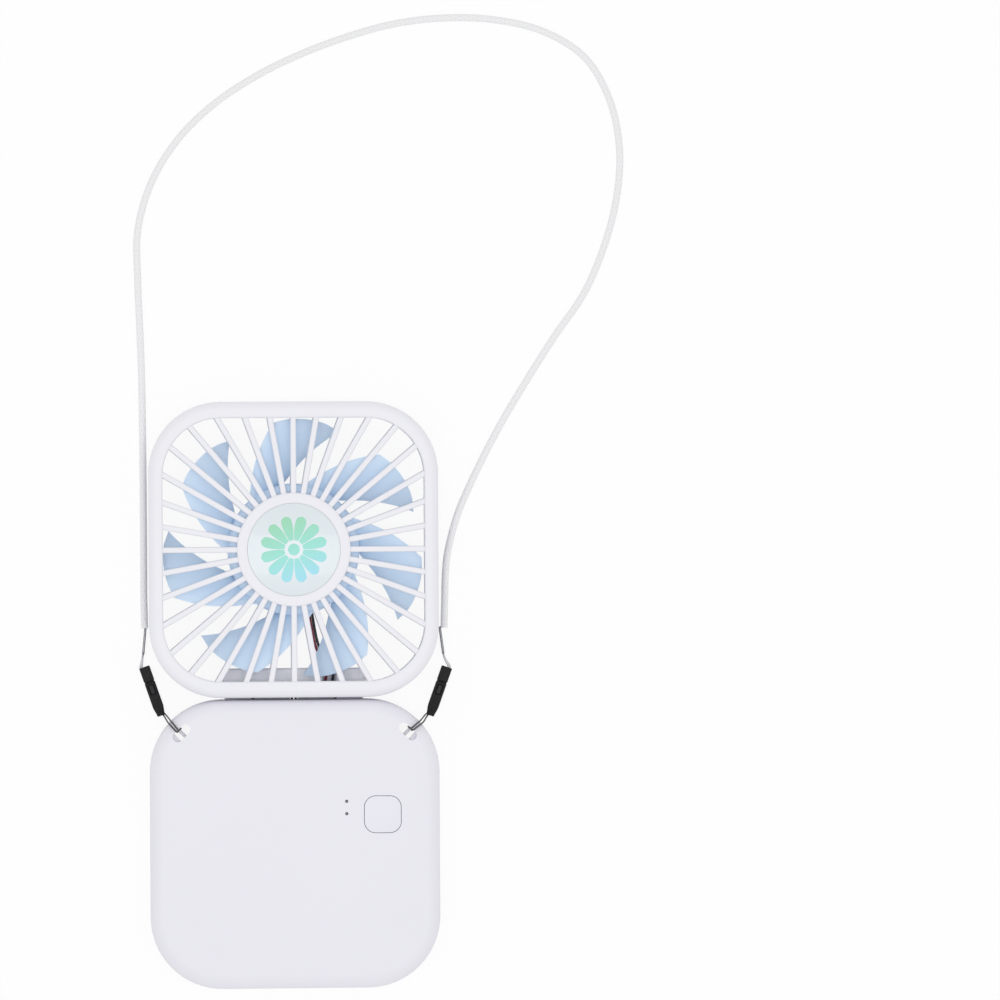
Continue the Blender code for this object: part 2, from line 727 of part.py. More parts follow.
def make_motor(looks, head, rotor):
    steel, magnet_black, copper, brass, board_green = looks
    bush_in, bush_out, tube_in, tube_out = bearing_radii()
    tube_low = HEAD_BACK + TUBE_FLOOR + GAP
    tube_high = tube_low + TUBE_LENGTH
    bush_low = tube_low + 2 * CLIP_THICK + 2 * GAP

    def ring(name, inner, outer, low, high, look, parent, steps=MOTOR_STEPS):
        bm = bmesh.new()
        add_turned(bm, [(inner, low), (outer, low), (outer, high), (inner, high)], steps)
        return piece(name, bm, look, parent)

    ring("bearing_tube", tube_in, tube_out, tube_low, tube_high, brass, head, BEARING_STEPS)
    ring("bearing_bush", bush_in, bush_out, bush_low, tube_high, brass, head, BEARING_STEPS)
    clip_in = SHAFT_RADIUS + GAP / 2
    clip_low, clip_high = tube_low + CLIP_THICK, tube_low + 2 * CLIP_THICK
    ring("shaft_clip", clip_in, bush_out, clip_low, clip_high, steel, rotor, BEARING_STEPS)
    bm = bmesh.new()
    shaft_top = HUB_TOP - HUB_WALL
    profile = [
        (SHAFT_RADIUS - SHAFT_FOOT, tube_low),
        (SHAFT_RADIUS, tube_low + SHAFT_FOOT),
        (SHAFT_RADIUS, shaft_top),
    ]
    add_disc(bm, profile, 16)
    piece("motor_shaft", bm, steel, rotor)
    yoke_out = HUB_RADIUS - HUB_WALL - GAP
    yoke_in = yoke_out - YOKE_THICK
    magnet_out = yoke_in - GAP
    magnet_in = magnet_out - MAGNET_THICK
    ring("rotor_yoke", yoke_in, yoke_out, HUB_BOTTOM, HUB_TOP - HUB_WALL - GAP, steel, rotor)
    magnet_low = HUB_BOTTOM + YOKE_THICK
    ring("rotor_magnet", magnet_in, magnet_out, magnet_low, magnet_low + MAGNET_HEIGHT, magnet_black, rotor)
    board_low = MOUNT_TOP + GAP
    board_high = board_low + MOTOR_BOARD_THICK
    ring("motor_board", MOTOR_BOARD_HOLE, MOTOR_BOARD_RADIUS, board_low, board_high, board_green, head)
    make_stator(steel, copper, head, magnet_in - AIR_GAP, tube_out + GAP, board_high + STATOR_LIFT)


def make_stator(steel, copper, head, reach, bore, low):
    """The laminated core, six teeth with wide shoes, and a coil round each tooth."""
    high = low + STATOR_THICK
    outline = []
    shoe_angle = pi / TOOTH_COUNT * TOOTH_SHOE_SHARE
    hub = reach * STATOR_HUB_SHARE
    shoe_in = reach - TOOTH_SHOE
    half = TOOTH_WIDTH / 2
    for k in range(TOOTH_COUNT):
        middle = 2 * pi * k / TOOTH_COUNT
        out, side = Vector((cos(middle), sin(middle))), Vector((-sin(middle), cos(middle)))
        outline.append(out * hub - side * half)
        outline.append(out * shoe_in - side * half)
        outline.append(Vector((cos(middle - shoe_angle), sin(middle - shoe_angle))) * shoe_in)
        for share in (-1, -0.5, 0, 0.5, 1):
            angle = middle + shoe_angle * share
            outline.append(Vector((cos(angle), sin(angle))) * reach)
        outline.append(Vector((cos(middle + shoe_angle), sin(middle + shoe_angle))) * shoe_in)
        outline.append(out * shoe_in + side * half)
        outline.append(out * hub + side * half)
    bm = bmesh.new()
    add_prism(bm, [tuple(p) for p in outline], low, high)
    core = piece("stator_core", bm, steel, head)
    bm = bmesh.new()
    add_prism(bm, circle(bore, 24), low - OVERRUN, high + OVERRUN)
    shape_with(core, bm, "DIFFERENCE")
    bm = bmesh.new()
    near, far = hub + GAP + half, shoe_in - COIL_THICK
    link_low, link_high = low - GAP - COIL_THICK, low - GAP
    link_in, link_out = near + GAP, near + COIL_THICK
    link = [(link_in, link_low), (link_out, link_low), (link_out, link_high), (link_in, link_high)]
    add_turned(bm, link, MOTOR_STEPS)
    winding = piece("stator_winding", bm, copper, head)
    bm = bmesh.new()
    for k in range(TOOTH_COUNT):
        middle = 2 * pi * k / TOOTH_COUNT
        out, side = Vector((cos(middle), sin(middle), 0)), Vector((-sin(middle), cos(middle), 0))
        loops = []
        for grow, r in ((GAP, near), (GAP + COIL_THICK, near), (GAP + COIL_THICK, far), (GAP, far)):
            wide, tall = half + grow, STATOR_THICK / 2 + grow
            corners = ((-wide, -tall), (wide, -tall), (wide, tall), (-wide, tall))
            loops.append([out * r + side * s + Vector((0, 0, (low + high) / 2 + z)) for s, z in corners])
        add_loft(bm, loops, ring=True)
    shape_with(winding, bm, "UNION")


# Hinge pieces that ride on the base


def hinge_spans():
    """(inner, outer) distances from the middle of a side knuckle of the base."""
    return HEAD_KNUCKLE_HALF + KNUCKLE_SPACE, KNUCKLE_END


def make_hinge_pins(look, parent):
    outer = hinge_spans()[1] - GAP
    for side, name in ((-1, "hinge_pin_left"), (1, "hinge_pin_right")):
        bm = bmesh.new()
        add_rod(bm, (side * (outer - PIN_LENGTH), 0, 0), (side * outer, 0, 0), PIN_RADIUS, 12)
        piece(name, bm, look, parent, (0, BASE_SEAM, HINGE_Z))


# Base


def slot_spots():
    """The two lanyard slots, on the diagonals of the corners next to the head."""
    reach = (CORNER_RADIUS - SLOT_INSET) * DIAGONAL.x
    x, y = BASE_HALF[0] - CORNER_RADIUS + reach, BASE_HALF[1] - CORNER_RADIUS + reach
    return [(-x, y, -1), (x, y, 1)]


def slot_loop(spot, z, grow=0):
    """The slot's outline at a height: it flares towards the back. Its long axis follows the corner."""
    x, y, side = spot
    radius = SLOT_WIDTH / 2 + SLOT_FLARE * (FRONT - z) / FRONT + grow
    straight = (SLOT_LONG - SLOT_WIDTH) / 2
    long_axis = Vector((-side, 1)).normalized()
    short_axis = Vector((side, 1)).normalized()
    steps = 6
    points = []
    for end in (1, -1):
        for k in range(steps + 1):
            angle = (0 if end > 0 else pi) - pi / 2 + pi * k / steps
            shift = long_axis * (end * straight + radius * cos(angle)) + short_axis * (radius * sin(angle))
            points.append(Vector((x + shift.x, y + shift.y, z)))
    return points


def base_screw_spots():
    x = WIDTH / 2 - POST_FROM_SIDE
    ys = (BASE_LONG / 2 - POST_FROM_SEAM, POST_FROM_END - BASE_LONG / 2)
    return [(sx * x, y) for sx in (-1, 1) for y in ys]


def add_cover(bm, part, face, side, edge, wall):
    """A tray with round edges: side 1 opens downwards under its face, -1 opens upwards."""
    outer = [(0, part)] + edge_arc(face, edge, side)
    soft = max(edge - wall, wall / 2)
    inner = [(wall, part)] + edge_arc(face - side * wall, soft, side, wall, 2)
    profile = list(reversed(outer)) + inner
    add_loft(bm, [at_height(inset_outline(BASE_HALF, inset), z) for inset, z in profile])


def light_spots():
    return [(LIGHT_X, BUTTON_Y + shift) for shift in LIGHTS_ABOVE_BUTTON]


def socket_place():
    """(x, front y, middle height) of the charging socket's mouth, in the end wall."""
    return (BOARD_LEFT + BOARD_RIGHT) / 2, -BASE_LONG / 2 + SOCKET_RECESS, BOARD_Z + GAP + SOCKET_HEIGHT / 2


def upright_loop(outline, y):
    """An outline drawn across and up, standing at a depth."""
    return [Vector((x, y, z)) for x, z in outline]


def make_front_cover(look, parent):
    """The face of the base, with its slots for the lanyard and holes for button, lights and charging plug."""
    low = BASE_REAR_DEPTH + GAP / 2
    bm = bmesh.new()
    add_cover(bm, low, FRONT, 1, BASE_FRONT_EDGE, FACE_WALL)
    cover = piece("base_front_cover", bm, look, parent)
    bm = bmesh.new()
    for spot in slot_spots():
        add_loft(bm, [slot_loop(spot, low, SLOT_WALL), slot_loop(spot, BASE_CEILING + EMBED, SLOT_WALL)])
    for spot in base_screw_spots():
        add_prism(bm, circle(BASE_POST_RADIUS, 12, spot), low, BASE_CEILING + EMBED)
    shape_with(cover, bm, "UNION")
    bm = bmesh.new()
    for spot in slot_spots():
        add_loft(bm, [slot_loop(spot, low - OVERRUN), slot_loop(spot, FRONT + OVERRUN)])
    for spot in base_screw_spots():
        add_prism(bm, circle(BASE_SCREW_RADIUS + GAP, 12, spot), low - OVERRUN, BASE_CEILING)
    for spot in light_spots():
        add_prism(bm, circle(LIGHT_HOLE_RADIUS, 12, spot), BASE_CEILING - OVERRUN, FRONT + OVERRUN)
    half = BUTTON_SIZE / 2 + BUTTON_GROOVE
    hole = rounded((half, half), BUTTON_CORNER + BUTTON_GROOVE, (BUTTON_X, BUTTON_Y), 6)
    add_prism(bm, hole, BASE_CEILING - OVERRUN, FRONT + OVERRUN)
    shape_with(cover, bm, "DIFFERENCE")
    x, y, z = socket_place()
    half = (SOCKET_WIDTH / 2 + GAP, SOCKET_HEIGHT / 2 + GAP)
    mouth = rounded(half, half[1] - GAP / 2, (x, z), 5)
    bm = bmesh.new()
    outside = -BASE_LONG / 2 - OVERRUN
    add_loft(bm, [upright_loop(mouth, outside), upright_loop(mouth, -BASE_LONG / 2 + FACE_WALL + OVERRUN)])
    shape_with(cover, bm, "DIFFERENCE")
    bm = bmesh.new()
    for x, y, side in slot_spots():
        long_axis = Vector((-side, 1, 0)).normalized() * SLOT_BAR_WIDTH / 2
        short_axis = Vector((side, 1, 0)).normalized() * (SLOT_WIDTH / 2 + EMBED)
        loops = []
        for z in (FRONT - SLOT_BAR_DROP - SLOT_BAR_THICK, FRONT - SLOT_BAR_DROP):
            middle = Vector((x, y, z))
            turns = ((1, 1), (-1, 1), (-1, -1), (1, -1))
            loops.append([middle + long_axis * a + short_axis * b for a, b in turns])
        add_loft(bm, loops)
    shape_with(cover, bm, "UNION")
    return cover


def board_screw_spots():
    """(x, y) of the board screws, from the shares of the board that they stand at."""
    left, right = BOARD_LEFT + BOARD_SCREW_INSET, BOARD_RIGHT - BOARD_SCREW_INSET
    low, high = BOARD_BOTTOM + BOARD_SCREW_INSET, BOARD_TOP - BOARD_SCREW_INSET
    return [(right if on_right else left, low + (high - low) * up) for on_right, up in BOARD_SCREW_SHARES]


def make_rear_cover(look, parent):
    """The back of the base, with screw posts, board posts and the hinge's side knuckles."""
    high = BASE_REAR_DEPTH - GAP / 2
    bm = bmesh.new()
    add_cover(bm, high, 0, -1, BASE_BACK_EDGE, BASE_WALL)
    cover = piece("base_rear_cover", bm, look, parent)
    bm = bmesh.new()
    floor = BASE_WALL - EMBED
    for spot in slot_spots():
        add_loft(bm, [slot_loop(spot, floor, SLOT_WALL), slot_loop(spot, high, SLOT_WALL)])
    for spot in base_screw_spots():
        add_prism(bm, circle(BASE_POST_RADIUS, 12, spot), floor, high)
    for spot in board_screw_spots():
        add_prism(bm, circle(BOARD_POST_RADIUS, 12, spot), floor, BOARD_LIFT - GAP)
    shape_with(cover, bm, "UNION")
    bm = bmesh.new()
    reach = BASE_SEAM - KNUCKLE_SWEEP - NOTCH_WALL
    liner_half = HEAD_KNUCKLE_HALF + GAP + NOTCH_WALL
    add_box(bm, (-liner_half, reach, BASE_WALL / 3), (liner_half, BASE_LONG / 2 - EMBED, high - GAP))
    shape_with(cover, bm, "UNION")
    bm = bmesh.new()
    inner, outer = hinge_spans()
    for side in (-1, 1):
        ends = (side * inner, side * outer)
        add_rod(bm, (ends[0], BASE_SEAM, HINGE_Z), (ends[1], BASE_SEAM, HINGE_Z), BARREL_RADIUS, 16)
    shape_with(cover, bm, "UNION")
    bm = bmesh.new()
    back = BASE_LONG / 2 - BASE_BACK_EDGE - EMBED
    for side in (-1, 1):
        x0, x1 = sorted((side * (inner + GAP / 2), side * (outer - GAP / 2)))
        add_box(bm, (x0, back, BARREL_LIFT), (x1, BASE_SEAM, HINGE_Z))
    shape_with(cover, bm, "UNION")
    bm = bmesh.new()
    for side in (-1, 1):
        ends = (side * HEAD_KNUCKLE_HALF, side * (outer - GAP / 2))
        add_rod(bm, (ends[0], BASE_SEAM, HINGE_Z), (ends[1], BASE_SEAM, HINGE_Z), PIN_RADIUS + GAP, 12)
    shape_with(cover, bm, "DIFFERENCE")
    bm = bmesh.new()
    end = HEAD_KNUCKLE_HALF + GAP
    add_rod(bm, (-end, BASE_SEAM, HINGE_Z), (end, BASE_SEAM, HINGE_Z), KNUCKLE_SWEEP, 20)
    for spot in slot_spots():
        add_loft(bm, [slot_loop(spot, -OVERRUN), slot_loop(spot, high + OVERRUN)])
    for spot in base_screw_spots():
        cap, hole = BASE_SCREW_CAP_RADIUS + GAP, BASE_SCREW_RADIUS + GAP
        profile = [(cap, -OVERRUN), (cap, BASE_SCREW_SINK), (hole, BASE_SCREW_SINK), (hole, high + OVERRUN)]
        add_disc(bm, profile, 12, spot)
    for spot in board_screw_spots():
        add_prism(bm, circle(BASE_SCREW_RADIUS + GAP, 12, spot), BASE_WALL + GAP, BOARD_LIFT + OVERRUN)
    shape_with(cover, bm, "DIFFERENCE")
    bm = bmesh.new()
    half = WIRE_WELL_HALF
    tall = 3 * WIRE_RADIUS
    passage = (-half, reach - OVERRUN, HINGE_Z - tall), (half, reach + NOTCH_WALL + OVERRUN, HINGE_Z + tall)
    add_box(bm, *passage)
    shape_with(cover, bm, "DIFFERENCE")
    return cover


def make_base_screws(look, parent):
    foot = BASE_SCREW_SINK - BASE_SCREW_CAP - GAP
    sizes = (BASE_SCREW_CAP_RADIUS, BASE_SCREW_CAP, BASE_SCREW_RADIUS, BASE_SCREW_LENGTH)
    make_screws("base_screw", base_screw_spots(), foot, sizes, look, parent)


def make_button(look, parent):
    """The cap in its hole, kept in by a flange under the cover, with a stem that presses the switch."""
    half = BUTTON_SIZE / 2
    flange_top = BASE_CEILING - GAP
    flange_low = flange_top - BUTTON_FLANGE_THICK
    wide = half + BUTTON_FLANGE
    loops = []
    for size, corner, z in (
        (wide, BUTTON_CORNER + BUTTON_FLANGE, flange_low),
        (wide, BUTTON_CORNER + BUTTON_FLANGE, flange_top),
        (half, BUTTON_CORNER, flange_top),
        (half, BUTTON_CORNER, FRONT - BUTTON_EDGE),
        (half - BUTTON_EDGE, BUTTON_CORNER - BUTTON_EDGE, FRONT),
    ):
        loops.append(at_height(rounded((size, size), corner, steps=6), z))
    bm = bmesh.new()
    add_loft(bm, loops)
    cap = piece("power_button", bm, look, parent)
    bm = bmesh.new()
    add_prism(bm, circle(BUTTON_STEM_RADIUS, 16), flange_low - BUTTON_STEM, flange_low + GAP)
    shape_with(cap, bm, "UNION")
    return flange_low - BUTTON_STEM


def make_switch(body_look, plunger_look, base, button_axis, stem_low):
    """The switch under the button: its body stays on the board, its plunger moves with the button."""
    plunger_high = stem_low - GAP
    plunger_low = plunger_high - PLUNGER_THICK
    bm = bmesh.new()
    add_prism(bm, circle(PLUNGER_RADIUS, 16), plunger_low, plunger_high)
    piece("switch_plunger", bm, plunger_look, button_axis)
    bm = bmesh.new()
    half = SWITCH_SIZE / 2
    low, high = (BUTTON_X - half, BUTTON_Y - half), (BUTTON_X + half, BUTTON_Y + half)
    add_box(bm, (*low, BOARD_Z + GAP), (*high, plunger_low - PLUNGER_SPACE))
    piece("tact_switch", bm, body_look, base)


def make_board(board_look, part_look, light_look, guide_look, screw_look, parent):
    """The circuit board with its parts, the two status lights and the guide that leads their light up."""
    bm = bmesh.new()
    add_box(bm, (BOARD_LEFT, BOARD_BOTTOM, BOARD_LIFT), (BOARD_RIGHT, BOARD_TOP, BOARD_Z))
    board = piece("circuit_board", bm, board_look, parent)
    bm = bmesh.new()
    for spot in board_screw_spots():
        add_prism(bm, circle(BASE_SCREW_RADIUS + GAP, 12, spot), BOARD_LIFT - OVERRUN, BOARD_Z + OVERRUN)
    shape_with(board, bm, "DIFFERENCE")
    seat = BOARD_Z + GAP
    middle = (BOARD_LEFT + BOARD_RIGHT) / 2
    chip_y, coil_y = -CHIP_SIZE, -CHIP_SIZE - 2 * COIL_CASE_SIZE
    bm = bmesh.new()
    add_prism(bm, rectangle(CHIP_SIZE / 2, CHIP_SIZE / 2, (middle, chip_y)), seat, seat + CHIP_THICK)
    piece("charge_chip", bm, part_look, parent)
    bm = bmesh.new()
    half = COIL_CASE_SIZE / 2
    add_prism(bm, rounded((half, half), half / 2, (middle, coil_y), 3), seat, seat + COIL_CASE_THICK)
    piece("boost_coil", bm, part_look, parent)
    half = LIGHT_SIZE / 2
    for name, spot in zip(("status_light_upper", "status_light_lower"), light_spots()):
        bm = bmesh.new()
        add_prism(bm, rectangle(half, half), seat, seat + LIGHT_THICK)
        piece(name, bm, light_look, parent, (*spot, 0))
    (x, y0), (_, y1) = light_spots()
    low, high = min(y0, y1) - LIGHT_GUIDE_MARGIN, max(y0, y1) + LIGHT_GUIDE_MARGIN
    bm = bmesh.new()
    guide_half = LIGHT_GUIDE_WIDTH / 2
    guide_low = seat + LIGHT_THICK + GAP
    add_box(bm, (x - guide_half, low, guide_low), (x + guide_half, high, BASE_CEILING - GAP))
    piece("light_guide", bm, guide_look, parent)
    sizes = (BASE_SCREW_CAP_RADIUS, BASE_SCREW_CAP, BASE_SCREW_RADIUS, BOARD_SCREW_LENGTH)
    head_top = seat + BASE_SCREW_CAP
    make_screws("board_screw", board_screw_spots(), head_top, sizes, screw_look, parent, up=False)


def make_socket(shell_look, tongue_look, parent):
    """The charging socket: an oval steel shell, open at its mouth, with its contact tongue inside."""
    x, front, z = socket_place()
    back = front + SOCKET_LENGTH

    def oval(shrink):
        half = (SOCKET_WIDTH / 2 - shrink, SOCKET_HEIGHT / 2 - shrink)
        return rounded(half, half[1] - GAP / 2, (x, z), 5)

    floor = back - SOCKET_WALL
    bm = bmesh.new()
    loops = [(0, back), (0, front), (SOCKET_WALL, front), (SOCKET_WALL, floor)]
    add_loft(bm, [upright_loop(oval(shrink), y) for shrink, y in loops])
    piece("usb_socket", bm, shell_look, parent)
    bm = bmesh.new()
    half = (SOCKET_TONGUE_WIDTH / 2, SOCKET_TONGUE_THICK / 2)
    tongue = [(x + sx * half[0], z + sz * half[1]) for sx, sz in ((1, 1), (-1, 1), (-1, -1), (1, -1))]
    add_loft(bm, [upright_loop(tongue, front + SOCKET_TONGUE_THICK), upright_loop(tongue, floor - GAP)])
    piece("usb_contacts", bm, tongue_look, parent)


def make_cell(cell_look, pad_look, parent):
    """The flat pouch cell on its foam tape."""
    pad_low = BASE_WALL + GAP
    cell_low = pad_low + PAD_THICK + GAP
    cell_high = cell_low + CELL_THICK
    left, right = CELL_FROM_SIDE - WIDTH / 2, BOARD_LEFT - CELL_FROM_BOARD
    bottom, top = CELL_FROM_END - BASE_LONG / 2, BASE_LONG / 2 - CELL_FROM_SEAM
    half = ((right - left) / 2, (top - bottom) / 2)
    middle = ((left + right) / 2, (bottom + top) / 2)
    pad = rectangle(half[0] - PAD_MARGIN, half[1] - PAD_MARGIN, middle)
    bm = bmesh.new()
    add_prism(bm, pad, pad_low, pad_low + PAD_THICK)
    piece("cell_pad", bm, pad_look, parent)
    profile = edge_arc(cell_low, CELL_EDGE, -1, steps=3)
    loops = list(reversed(profile)) + edge_arc(cell_high, CELL_EDGE, 1, steps=3)
    bm = bmesh.new()
    outlines = [rounded((half[0] - i, half[1] - i), 2 * CELL_EDGE - i, middle, 3) for i, z in loops]
    add_loft(bm, [at_height(outline, z) for outline, (i, z) in zip(outlines, loops)])
    piece("battery_cell", bm, cell_look, parent)


# Wires: a route's own points in two lists, whose places are given from the piece that each list follows

HEAD_WIRE_RED = (
    ((0.00385, -0.01645, 0.00775), (0.00480, -0.0205, 0.00775)),
    (
        (0.00635, 0.0190, 0.00775),
        (0.00825, 0.0131, 0.0076),
        (0.00980, 0.0097, 0.0069),
        (0.01005, 0.0063, 0.0066),
        (0.00930, 0.0044, 0.0065),
        (0.00760, 0.00415, 0.00645),
        (0.00420, 0.00415, 0.00645),
        (0.00110, 0.0040, 0.00645),
        (-0.00045, 0.0032, 0.0060),
        (-0.00060, 0.0020, 0.0050),
        (-0.00060, 0.0009, 0.0041),
        (-0.00060, 0.0002, 0.0032),
    ),
)
HEAD_WIRE_BLACK = (
    ((0.00495, -0.01615, 0.00775), (0.00600, -0.0203, 0.00775)),
    (
        (0.00760, 0.0192, 0.00775),
        (0.00950, 0.0133, 0.0076),
        (0.01100, 0.0099, 0.0069),
        (0.01130, 0.0057, 0.0066),
        (0.01050, 0.0033, 0.0065),
        (0.00820, 0.00285, 0.00645),
        (0.00480, 0.00285, 0.00645),
        (0.00220, 0.00285, 0.00645),
        (0.00130, 0.0027, 0.00640),
        (0.00070, 0.0022, 0.0059),
        (0.00060, 0.0015, 0.0050),
        (0.00060, 0.0007, 0.0040),
        (0.00060, 0.0002, 0.0032),
    ),
)
BASE_WIRE_RED = (
    (
        (-0.00060, -0.0008, 0.0024),
        (-0.00060, -0.0031, 0.0024),
        (-0.00060, -0.0056, 0.0026),
        (0.0006, -0.0096, 0.0032),
        (0.0045, -0.0161, 0.0052),
    ),
    (
        (-0.0030, -0.0226, 0.0082),
        (0.0030, -0.0276, 0.0104),
        (0.0060, -0.0306, 0.0105),
        (0.0070, -0.0331, 0.0103),
    ),
)
BASE_WIRE_BLACK = (
    (
        (0.00060, -0.0008, 0.0024),
        (0.00060, -0.0031, 0.0024),
        (0.00060, -0.0056, 0.0026),
        (0.0018, -0.0089, 0.0032),
        (0.0057, -0.0151, 0.0052),
    ),
    (
        (-0.0018, -0.0215, 0.0082),
        (0.0048, -0.0266, 0.0104),
        (0.0082, -0.0299, 0.0105),
        (0.0092, -0.0326, 0.0103),
    ),
)
CELL_WIRE_RED = (
    (-0.0097, -0.0351, 0.0080),
    (-0.0078, -0.0353, 0.0084),
    (-0.0050, -0.0371, 0.0097),
    (-0.0018, -0.0393, 0.0107),
    (0.0008, -0.0409, 0.0106),
    (0.0022, -0.0417, 0.0103),
)
CELL_WIRE_BLACK = (
    (-0.0097, -0.0376, 0.0080),
    (-0.0078, -0.0379, 0.0084),
    (-0.0050, -0.0399, 0.0097),
    (-0.0018, -0.0421, 0.0107),
    (0.0008, -0.0437, 0.0106),
    (0.0022, -0.0445, 0.0103),
)


def moved(points, x, y):
    return [(x + across, y + along, z) for across, along, z in points]


def head_wire_route(route):
    """From the motor's board, placed from the head's middle, to the hinge, placed from the hinge line."""
    return moved(route[0], 0, 0) + moved(route[1], 0, HEAD_SEAM)


def base_wire_route(route):
    """From the hinge line to the circuit board, placed from the board's left edge and the hinge line."""
    return moved(route[0], 0, BASE_SEAM) + moved(route[1], BOARD_LEFT, BASE_SEAM)


def make_wires(red_look, black_look, head, base):
    for name, look, head_route, base_route, cell_route in (
        ("red", red_look, HEAD_WIRE_RED, BASE_WIRE_RED, CELL_WIRE_RED),
        ("black", black_look, HEAD_WIRE_BLACK, BASE_WIRE_BLACK, CELL_WIRE_BLACK),
    ):
        tube(f"head_wire_{name}", head_wire_route(head_route), WIRE_RADIUS, look, head)
        tube(f"base_wire_{name}", base_wire_route(base_route), WIRE_RADIUS, look, base)
        tube(f"cell_wire_{name}", moved(cell_route, BOARD_LEFT, BASE_SEAM), WIRE_RADIUS, look, base)


# Neck cord: the route's own points, flat on the surface. Their x is measured from a line that moves evenly
# along the route from the fan's left side to its right side, and their y from the seam
CORD_ROUTE = (
    (-0.00150, 0.0229),
    (-0.00436, 0.0272),
    (-0.00722, 0.0332),
    (-0.00998, 0.0430),
    (-0.01274, 0.0596),
    (-0.01559, 0.0839),
    (-0.01855, 0.1037),
    (-0.02181, 0.1200),
    (-0.02517, 0.1362),
    (-0.02783, 0.1525),
    (-0.02609, 0.1681),
    (-0.02025, 0.1820),
    (-0.01141, 0.1934),
    (-0.00056, 0.2025),
    (0.01128, 0.2097),
    (0.02392, 0.2155),
    (0.03696, 0.2198),
    (0.05050, 0.2217),
    (0.06414, 0.2211),
    (0.07728, 0.2173),
    (0.08822, 0.2087),
    (0.09356, 0.1946),
    (0.09391, 0.1785),
    (0.08995, 0.1622),
    (0.08289, 0.1463),
    (0.07353, 0.1313),
    (0.06137, 0.1178),
    (0.04971, 0.1040),
    (0.03845, 0.0900),
    (0.02799, 0.0755),
    (0.01844, 0.0606),
    (0.01218, 0.0483),
    (0.00842, 0.0405),
    (0.00536, 0.0317),
    (0.00230, 0.0224),
)

# Clips, each from the middle of its top end to the middle of its tip, and the links and threads above them.
# Places are given outwards from the side of the fan, and along it from the seam
CLIPS = {
    "left": ((0.00170, 0.0103), (-0.00380, -0.0056)),
    "right": ((0.00320, 0.0096), (-0.00245, -0.0061)),
}
LINKS = {
    "left": ((0.00130, 0.0222), (0.00200, 0.0145)),
    "right": ((0.00100, 0.0216), (0.00200, 0.0141)),
}
THREADS = {
    "left": ((0.00210, 0.0139), (0.00225, 0.0128), (0.00245, 0.0117), (0.00262, 0.0110)),
    "right": ((0.00210, 0.0135), (0.00260, 0.0124), (0.00330, 0.0112), (0.00390, 0.0104)),
}
# Loop strands from the clip's tip up the corner to the slot, with their height and half of their spread
LOOP_FEET = {
    "left": (
        (-0.00392, -0.00593, 0.0014, 0.00045),
        (-0.00415, -0.0066, 0.0024, 0.0005),
        (-0.00450, -0.0073, 0.0046, 0.0006),
        (-0.00480, -0.0079, 0.0072, 0.0006),
    ),
    "right": (
        (-0.00262, -0.00656, 0.0014, 0.00045),
        (-0.00310, -0.0071, 0.0024, 0.0005),
        (-0.00385, -0.0076, 0.0046, 0.0006),
        (-0.00455, -0.0079, 0.0072, 0.0006),
    ),
}
LOOP_RISE = (
    (-0.00515, -0.00821, 0.0098, 0.0006),
    (-0.00542, -0.00795, 0.0130, 0.0006),
    (-0.00631, -0.00814, 0.0163, 0.0006),
    (-0.00773, -0.00893, 0.0179, 0.00055),
    (-0.00900, -0.00983, 0.0185, 0.0005),
    (-0.00955, -0.01010, 0.0183, 0.0005),
    (-0.00975, -0.01022, 0.0176, 0.0006),
    (-0.00980, -0.01026, 0.0168, 0.0009),
    (-0.00982, -0.01028, 0.0160, 0.00108),
    (-0.00982, -0.01028, 0.0152, 0.00112),
    (-0.00982, -0.01028, 0.0143, 0.00108),
)
LOOP_TURN = (-0.00982, -0.01028, 0.0132)


def beside(side, points, z):
    """Flat points placed outwards from a side of the fan, lifted to a height."""
    way = -1 if side == "left" else 1
    return [Vector((way * (WIDTH / 2 + out), SEAM_Y + y, z)) for out, y in points]


def cord_points():
    """The neck cord's points, from the left side of the fan round to the right."""
    last = len(CORD_ROUTE) - 1
    lines = [WIDTH / 2 * (2 * k / last - 1) for k in range(last + 1)]
    height = CORD_RADIUS + CLIP_LIFT / 2
    return [Vector((line + x, SEAM_Y + y, height)) for line, (x, y) in zip(lines, CORD_ROUTE)]


def make_link(side, look):
    """A narrow steel link standing on edge: two straight runs with half-round ends."""
    start, end = beside(side, LINKS[side], LINK_HALF_HEIGHT + LINK_WIRE_RADIUS + CLIP_LIFT)
    along = (end - start).normalized()
    start, end = start + along * LINK_HALF_HEIGHT, end - along * LINK_HALF_HEIGHT
    up = Vector((0, 0, LINK_HALF_HEIGHT))
    steps = 4
    points = []
    for centre, way in ((start, -1), (end, 1)):
        for k in range(steps + 1):
            angle = pi * k / steps
            points.append(centre + along * way * LINK_HALF_HEIGHT * sin(angle) + up * way * -cos(angle))
    tube(f"cord_link_{side}", points, LINK_WIRE_RADIUS, look, closed=True)


def clip_section(x, width, height, middle):
    """A section across a clip, with its long edges rounded."""
    half = (width / 2, height / 2)
    return [Vector((x, y, z)) for y, z in rounded(half, CLIP_EDGE, (0, middle), 2)]


